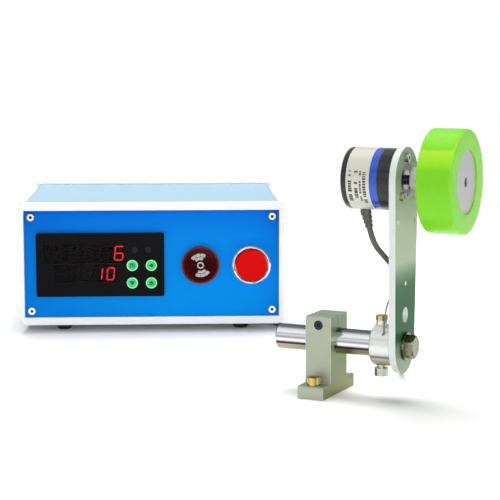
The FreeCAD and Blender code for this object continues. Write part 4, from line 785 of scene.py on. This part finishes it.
def makeBuzzer():
    low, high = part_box("buzzer_lens")
    centre = (low + high) / 2 / mm
    front = low.y / mm
    look = buzzerLook
    radius, rimRound = look["lensRadius"], look["rimRound"]
    rimLow = -look["dome"] - look["rimDrop"]
    spot = onCase(centre.x, front, centre.z)

    def domeHigh(share):
        # Height of the lens at a share of its radius
        return rimLow + rimRound + look["domeRise"] * (1 - share ** 2)

    lens = newFinish("buzzerLens", {
        "colour": shade(72, 4, 8), "second": shade(62, 3, 6), "rough": 0.2, "roughSpread": 0.03,
        "specular": 0.03, "bump": 0.03, "edge": 0.0003, "edgeColour": shade(140, 40, 44),
        "wear": 0.3, "grainSize": 300})
    tree = lens.node_tree
    # Lens colour by distance from its centre: darker in the middle, with a painted highlight at the rim
    place = newNode(tree, "ShaderNodeTexCoord")
    away = newNode(tree, "ShaderNodeVectorMath", {"operation": "DISTANCE"},
                   {1: (centre.x * mm, front * mm, centre.z * mm)}, in0=place.outputs["Object"])
    rim = newNode(tree, "ShaderNodeMapRange", {"clamp": True},
                  {"From Min": 0.004, "From Max": radius * mm}, Value=away.outputs["Value"])
    tintBy(lens, ramp(tree, [(0, (0.45, 0.4, 0.4)), (0.7, (0.6, 0.5, 0.5)), (0.86, 1),
                             (1, (1.5, 1.6, 1.5))], rim.outputs["Result"]))
    profile = [(0, -look["sink"]), (radius, -look["sink"]), (radius, rimLow)]
    profile += [(radius - rimRound * (1 - math.cos(turn)), rimLow + rimRound * math.sin(turn))
                for turn in (0.4, 0.8, 1.2, 1.57)]
    steps = look["domeSteps"]
    profile += [((radius - rimRound) * (1 - step / steps), domeHigh(1 - step / steps))
                for step in range(1, steps + 1)]
    build = bmesh.new()
    latheInto(build, profile, look["lensSteps"], spot)
    piece = addPiece("buzzerLens", build, lens, "base", 40)
    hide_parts("buzzer_lens")
    dress("buzzer_body", plastic("buzzerShell", shade(98, 16, 20), 0.24, specular=0.25,
                                 edgeColour=shade(150, 60, 62), wear=0.7))
    silver = plastic("fanSilver", shade(176, 168, 168), 0.36, specular=0.3)
    build = bmesh.new()
    for middle in (look["fanTurn"], look["fanTurn"] + 180):
        for count, (inner, outer) in enumerate(look["bands"]):
            half = look["fanHalf"] - look["fanTaper"] * (1 - count)
            slots = 3 if count else 1
            for part in range(slots):
                start = middle - half + 2 * half * part / slots + (look["fanSlit"] if part else 0)
                end = (middle - half + 2 * half * (part + 1) / slots
                       - (look["fanSlit"] if part < slots - 1 else 0))
                arc = [math.radians(start + (end - start) * step / look["arcSteps"])
                       for step in range(look["arcSteps"] + 1)]
                outline = [(outer * math.cos(turn), outer * math.sin(turn)) for turn in arc]
                outline += [(inner * math.cos(turn), inner * math.sin(turn)) for turn in reversed(arc)]
                prismInto(build, outline, domeHigh(outer / radius) - look["fanSink"],
                          domeHigh(inner / radius) + look["fanProud"], spot)
    outer, inner, proud, high = look["ringOuter"], look["ringInner"], look["ringProud"], domeHigh(0)
    latheInto(build, [(inner, high - proud), (inner, high + proud * 0.6), (inner + proud, high + proud),
                      (outer - proud, high + proud), (outer, high + proud / 2), (outer, high - proud)],
              look["ringSteps"], spot)
    addPiece("buzzerFan", build, silver, "base", 40)


makeBuzzer()


# Reset button: bright collar and a flat red cap
def makeButton():
    dress("button_collar",
          steelFinish("collarChrome", shade(232, 233, 236), 0.12, size=700, edge=0.0005))
    dress("button_cap", plastic("redCap", shade(216, 5, 5), 0.36, specular=0.04,
                                edgeColour=shade(236, 60, 50), second=shade(212, 5, 5)))


makeButton()
print("operators finished")


# Button spring: an open coil, carried with the button
def makeButtonSpring():
    low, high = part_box("button_spring")
    centre = (low + high) / 2
    wire, turns, points = 0.5, 4, 20
    radius = (high.x - low.x) / 2 - wire * mm
    start, end = low.y + wire * mm, high.y - wire * mm
    line = []
    for step in range(turns * points + 1):
        share = step / (turns * points)
        turn = 2 * math.pi * turns * share
        line.append(Vector((centre.x + radius * math.cos(turn), start + (end - start) * share,
                            centre.z + radius * math.sin(turn))))
    build = bmesh.new()
    sweepInto(build, line, wire * mm, 10)
    piece = addPiece("buttonSpring", build, springMaterial, "reset_button", 60)
    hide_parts("button_spring")
    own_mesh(piece)


springLook = {
    "wire": 0.5, "radius": 9.75, "pitch": 1.5, "turns": 3, "points": 24, "left": 41.9, "lean": 0.45,
    "footRise": 18.2, "bendAbove": 10, "pinLeft": 46, "pinBack": 2.05, "pinHigh": 72.5,
}
springMaterial = steelFinish("springSteel", shade(132, 124, 110), 0.28, size=900)


def makeTorsionSpring():
    # Three turns round the hub, then a leg that bows up to the pin of the arm
    look = springLook
    steps = look["points"] * look["turns"]
    coil = []
    for step in range(steps + 1):
        left = (steps - step) / look["points"]
        turn = math.pi + 2 * math.pi * left
        coil.append(Vector((look["left"] + look["pitch"] * left, look["radius"] * math.cos(turn),
                            shaftHigh + look["radius"] * math.sin(turn))))
    foot = coil[-1]
    pin = Vector((look["pinLeft"], look["pinBack"], look["pinHigh"]))
    lean = look["lean"]
    bow = foot * lean + Vector((pin.x, pin.y - look["radius"] / 2, pin.z)) * (1 - lean)
    leg = [foot, foot + Vector((0, 0, look["footRise"])), bow + Vector((0, 0, look["radius"])),
           pin - Vector((0, 0, look["radius"] / 3)), pin + Vector((0, 0, look["radius"] / 2))]
    start = coil[0] - Vector((0, 0, 2 * look["wire"]))
    line = [start * mm] + [point * mm for point in coil[:-1]]
    line += splineLine("springLeg", [point * mm for point in leg])
    line = [standFrame @ point for point in line]
    build = bmesh.new()
    sweepInto(build, line, look["wire"] * mm, 12)
    piece = addPiece("torsionSpring", build, springMaterial, None, 60)
    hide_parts("torsion_spring")
    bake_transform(piece)


makeTorsionSpring()
makeButtonSpring()
print("springs wound")


# Encoder: black ends, silver label, blue band
encoderLook = {
    "radius": 19, "markSink": 0.02, "markProud": 0.05, "markSteps": 3, "longSpread": (0.6, 1.3),
    "wideSpread": (0.75, 1), "between": (0.8, 1.8),
}
markColumns = [
    # place along the axis, width, from and to in degrees, mark length, chance of a gap
    {"at": 22.3, "wide": 2.5, "low": 0, "high": 40, "long": 3.4, "skip": 0.1},
    {"at": 22.3, "wide": 1.6, "low": -26, "high": -8, "long": 2.4, "skip": 0.4},
    {"at": 26.2, "wide": 2.4, "low": -18, "high": 44, "long": 4.8, "skip": 0.35},
    {"at": 28.9, "wide": 1.4, "low": -18, "high": 44, "long": 3.2, "skip": 0.3},
    {"at": 31.5, "wide": 2.2, "low": -16, "high": 44, "long": 3, "skip": 0.25},
]


def makeEncoder():
    dress("encoder_cover encoder_flange", newFinish("blackAnodised", {
        "colour": shade(34, 34, 33), "second": shade(42, 42, 40), "metal": 0.5, "rough": 0.26,
        "roughSpread": 0.06, "grainSize": 500, "stretch": (1, 12, 12), "turn": (0, 0, -standTurn),
        "bump": 0.1, "bumpDeep": 0.00004, "edge": 0.0005, "edgeColour": shade(120, 120, 116),
        "wear": 0.6, "coat": 0.3, "coatRough": 0.15}))
    dress("encoder_label", newFinish("silverLabel", {
        "colour": shade(212, 212, 198), "second": shade(208, 208, 194), "metal": 0.35, "rough": 0.4,
        "roughSpread": 0.03, "grainSize": 900, "bump": 0.02, "edge": 0.0001, "specular": 0.3}))
    dress("encoder_band", newFinish("blueBand", {
        "colour": shade(36, 84, 196), "second": shade(30, 74, 184), "metal": 0.35, "rough": 0.24,
        "roughSpread": 0.04, "grainSize": 700, "bump": 0.05, "edge": 0.0001, "coat": 0.6}))
    dress("code_disc", newFinish("codeGlass", {
        "colour": shade(190, 200, 205), "rough": 0.08, "clear": 0.8, "edge": 0.0001}))
    ink = plastic("labelInk", shade(58, 58, 62), 0.5)
    draw = random.Random(11)
    build = bmesh.new()
    look = encoderLook
    radius, steps = look["radius"], look["markSteps"]
    for column in markColumns:
        turn = column["low"]
        while turn < column["high"]:
            long = column["long"] * draw.uniform(*look["longSpread"])
            if draw.random() > column["skip"]:
                wide = column["wide"] * draw.uniform(*look["wideSpread"])
                arc = [math.radians(turn + long * step / steps) for step in range(steps + 1)]
                rows = []
                for away in (radius - look["markSink"], radius + look["markProud"]):
                    for x in (column["at"] - wide / 2, column["at"] + wide / 2):
                        rows.append([build.verts.new(standSpot(
                            x, -away * math.cos(spot), wheelHigh - away * math.sin(spot)))
                            for spot in arc])
                innerLeft, innerRight, outerLeft, outerRight = rows
                for one, two in ((outerLeft, outerRight), (innerRight, innerLeft),
                                 (innerLeft, outerLeft), (outerRight, innerRight)):
                    for step in range(steps):
                        build.faces.new([one[step], one[step + 1], two[step + 1], two[step]])
                for step in (0, steps):
                    build.faces.new([innerLeft[step], innerRight[step],
                                     outerRight[step], outerLeft[step]])
            turn += long + draw.uniform(*look["between"])
    addPiece("labelMarks", build, ink, "arm")


makeEncoder()
print("encoder finished")

# Wheel: clear lime tyre on a plain disc
tyreLook = {
    "left": 68.5, "wide": 22, "radius": 31.83, "bore": 19.4, "bevel": 0.8, "round": 1.3, "steps": 160,
}


def makeTyre():
    look = tyreLook
    lime = newFinish("limeTyre", {
        "colour": shade(136, 216, 34), "second": shade(132, 212, 30), "rough": 0.24,
        "roughSpread": 0.01, "grainSize": 260, "stretch": (10, 1, 1), "turn": (0, 0, -standTurn),
        "bump": 0.01, "clear": 0.12, "inner": 0.35, "innerDeep": 0.01, "ior": 1.45, "edge": 0.0006,
        "specular": 0.3, "edgeColour": shade(205, 250, 110), "wear": 0.6})
    tree = lime.node_tree
    shader = tree.nodes["Principled BSDF"]
    shader.inputs["Subsurface Radius"].default_value = (0.7, 1, 0.2)
    # A faint emission, a painted glow in the clear rubber
    shader.inputs["Emission Color"].default_value = shade(120, 220, 10)
    shader.inputs["Emission Strength"].default_value = 0.1
    # Painted highlight band, above the middle of the wheel, from how far the surface looks up
    facingNow = newNode(tree, "ShaderNodeNewGeometry")
    up = newNode(tree, "ShaderNodeSeparateXYZ", Vector=facingNow.outputs["Normal"])
    tintBy(lime, ramp(tree, [
        (0, (0.9, 0.93, 0.9)), (0.28, (0.94, 0.98, 0.9)), (0.34, (1.25, 1.1, 1.1)),
        (0.5, (1.6, 1.14, 1.6)), (0.6, (2, 1.15, 4)), (0.66, (0.96, 0.96, 1)),
        (1, (0.9, 0.94, 1))], up.outputs["Z"]))
    radius, bore, bevel, wide = look["radius"], look["bore"], look["bevel"], look["wide"]
    profile = roundCorners([(bore, 0), (radius - bevel, 0), (radius, bevel), (radius, wide - bevel),
                            (radius - bevel, wide), (bore, wide)], look["round"], 5)
    build = bmesh.new()
    latheInto(build, profile + [profile[0]], look["steps"], onStand(look["left"], 0, wheelHigh))
    bmesh.ops.remove_doubles(build, verts=build.verts, dist=weldNear)
    piece = addPiece("limeTyre", build, lime, "wheel", 40)
    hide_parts("wheel_tyre")


makeTyre()
print("wheel finished")

# Rear fittings
dress("encoder_socket cable_plug", steelFinish("socketMetal", shade(176, 178, 180), 0.25, size=800))

# Floor, light and background
studio = {
    "floor": shade(250, 250, 250), "white": (1, 1, 1, 1), "floorHalf": 6, "floorLift": 0.05,
    "floorNear": 0.6, "floorFar": 1.1, "worldStrength": 0.15,
    # name, place in metres, width, watts, seen in gloss
    "lamps": (
        ("frontLamp", (0.0, -2.3, 0.42), 1.2, 21, True),
        ("keyLamp", (-0.7, -1.5, 1.45), 0.5, 5, True),
        ("topLamp", (-0.05, 0.6, 1.7), 1.6, 41, False),
        ("sideLamp", (1.4, -0.6, 0.7), 0.9, 4, True),
    ),
    "aim": (-0.05, 0.12, 0.07),
}


def anyRay(tree, *kinds):
    # 1 for each of the named kinds of ray
    path = newNode(tree, "ShaderNodeLightPath")
    mask = path.outputs[kinds[0]]
    for kind in kinds[1:]:
        mask = newNode(tree, "ShaderNodeMath", {"operation": "MAXIMUM"}, in0=mask,
                       in1=path.outputs[kind]).outputs["Value"]
    return mask


def makeFloor():
    build = bmesh.new()
    bmesh.ops.create_grid(build, x_segments=1, y_segments=1, size=studio["floorHalf"])
    mesh = bpy.data.meshes.new("floor")
    build.to_mesh(mesh)
    build.free()
    floor = bpy.data.objects.new("floor", mesh)
    scene.collection.objects.link(floor)
    material = bpy.data.materials.new("floor")
    material.use_nodes = True
    tree = material.node_tree
    tree.nodes.clear()
    out = newNode(tree, "ShaderNodeOutputMaterial")
    matt = newNode(tree, "ShaderNodeBsdfDiffuse", None, {"Color": studio["floor"]}).outputs["BSDF"]
    lift = newNode(tree, "ShaderNodeEmission", None,
                   {"Color": studio["white"], "Strength": studio["floorLift"]})
    white = newNode(tree, "ShaderNodeEmission", None, {"Color": studio["white"], "Strength": 1})
    both = newNode(tree, "ShaderNodeAddShader", in0=matt, in1=lift.outputs["Emission"])
    place = newNode(tree, "ShaderNodeTexCoord")
    away = newNode(tree, "ShaderNodeVectorMath", {"operation": "LENGTH"}, in0=place.outputs["Object"])
    far = newNode(tree, "ShaderNodeMapRange", {"clamp": True},
                  {"From Min": studio["floorNear"], "From Max": studio["floorFar"]},
                  Value=away.outputs["Value"])
    fade = newNode(tree, "ShaderNodeMixShader", in0=far.outputs["Result"], in1=both.outputs["Shader"],
                   in2=white.outputs["Emission"])
    seen = anyRay(tree, "Is Camera Ray", "Is Glossy Ray", "Is Transmission Ray")
    pick = newNode(tree, "ShaderNodeMixShader", in0=seen, in1=matt, in2=fade.outputs["Shader"])
    tree.links.new(pick.outputs["Shader"], out.inputs["Surface"])
    mesh.materials.append(material)


def makeWorld():
    world = bpy.data.worlds.new("studio")
    scene.world = world
    world.use_nodes = True
    tree = world.node_tree
    tree.nodes.clear()
    out = newNode(tree, "ShaderNodeOutputWorld")
    place = newNode(tree, "ShaderNodeTexCoord")
    parts = newNode(tree, "ShaderNodeSeparateXYZ", Vector=place.outputs["Generated"])
    sky = ramp(tree, [(0, 0.7), (0.06, 0.7), (0.16, 0.95), (0.4, 1), (0.47, 0.5), (0.56, 0.5),
                      (0.64, 0.95), (0.86, 1), (1, 0.8)], parts.outputs["Z"])
    roundAbout = newNode(tree, "ShaderNodeTexGradient", {"gradient_type": "RADIAL"},
                         Vector=place.outputs["Generated"])
    cards = ramp(tree, [(0, 0.8), (0.06, 1), (0.14, 1), (0.18, 0.2), (0.23, 0.15), (0.27, 1), (0.36, 1),
                        (0.44, 0.4), (0.68, 0.35), (0.8, 0.9), (1, 0.8)], roundAbout.outputs["Fac"])
    shown = newNode(tree, "ShaderNodeMix", {"data_type": "RGBA", "blend_type": "MULTIPLY"}, {0: 1},
                    in6=sky, in7=cards)
    soft = newNode(tree, "ShaderNodeBackground", None, {"Strength": 1}, Color=shown.outputs[2])
    even = newNode(tree, "ShaderNodeBackground", None,
                   {"Color": studio["white"], "Strength": studio["worldStrength"]})
    white = newNode(tree, "ShaderNodeBackground", None, {"Color": studio["white"], "Strength": 1})
    first = newNode(tree, "ShaderNodeMixShader", in0=anyRay(tree, "Is Glossy Ray"),
                    in1=even.outputs["Background"], in2=soft.outputs["Background"])
    last = newNode(tree, "ShaderNodeMixShader", in0=anyRay(tree, "Is Camera Ray", "Is Transmission Ray"),
                   in1=first.outputs["Shader"], in2=white.outputs["Background"])
    tree.links.new(last.outputs["Shader"], out.inputs["Surface"])


def makeLamps():
    for name, place, size, power, shines in studio["lamps"]:
        lamp = bpy.data.lights.new(name, "AREA")
        lamp.shape, lamp.size, lamp.energy = "DISK", size, power
        holder = bpy.data.objects.new(name, lamp)
        holder.location = place
        holder.visible_glossy = shines
        aim = Vector(studio["aim"]) - Vector(place)
        holder.rotation_euler = aim.to_track_quat("-Z", "Y").to_euler()
        scene.collection.objects.link(holder)


makeFloor()
makeWorld()
makeLamps()
scene.view_settings.view_transform = "Standard"
print("studio lit")

bpy.context.view_layer.update()
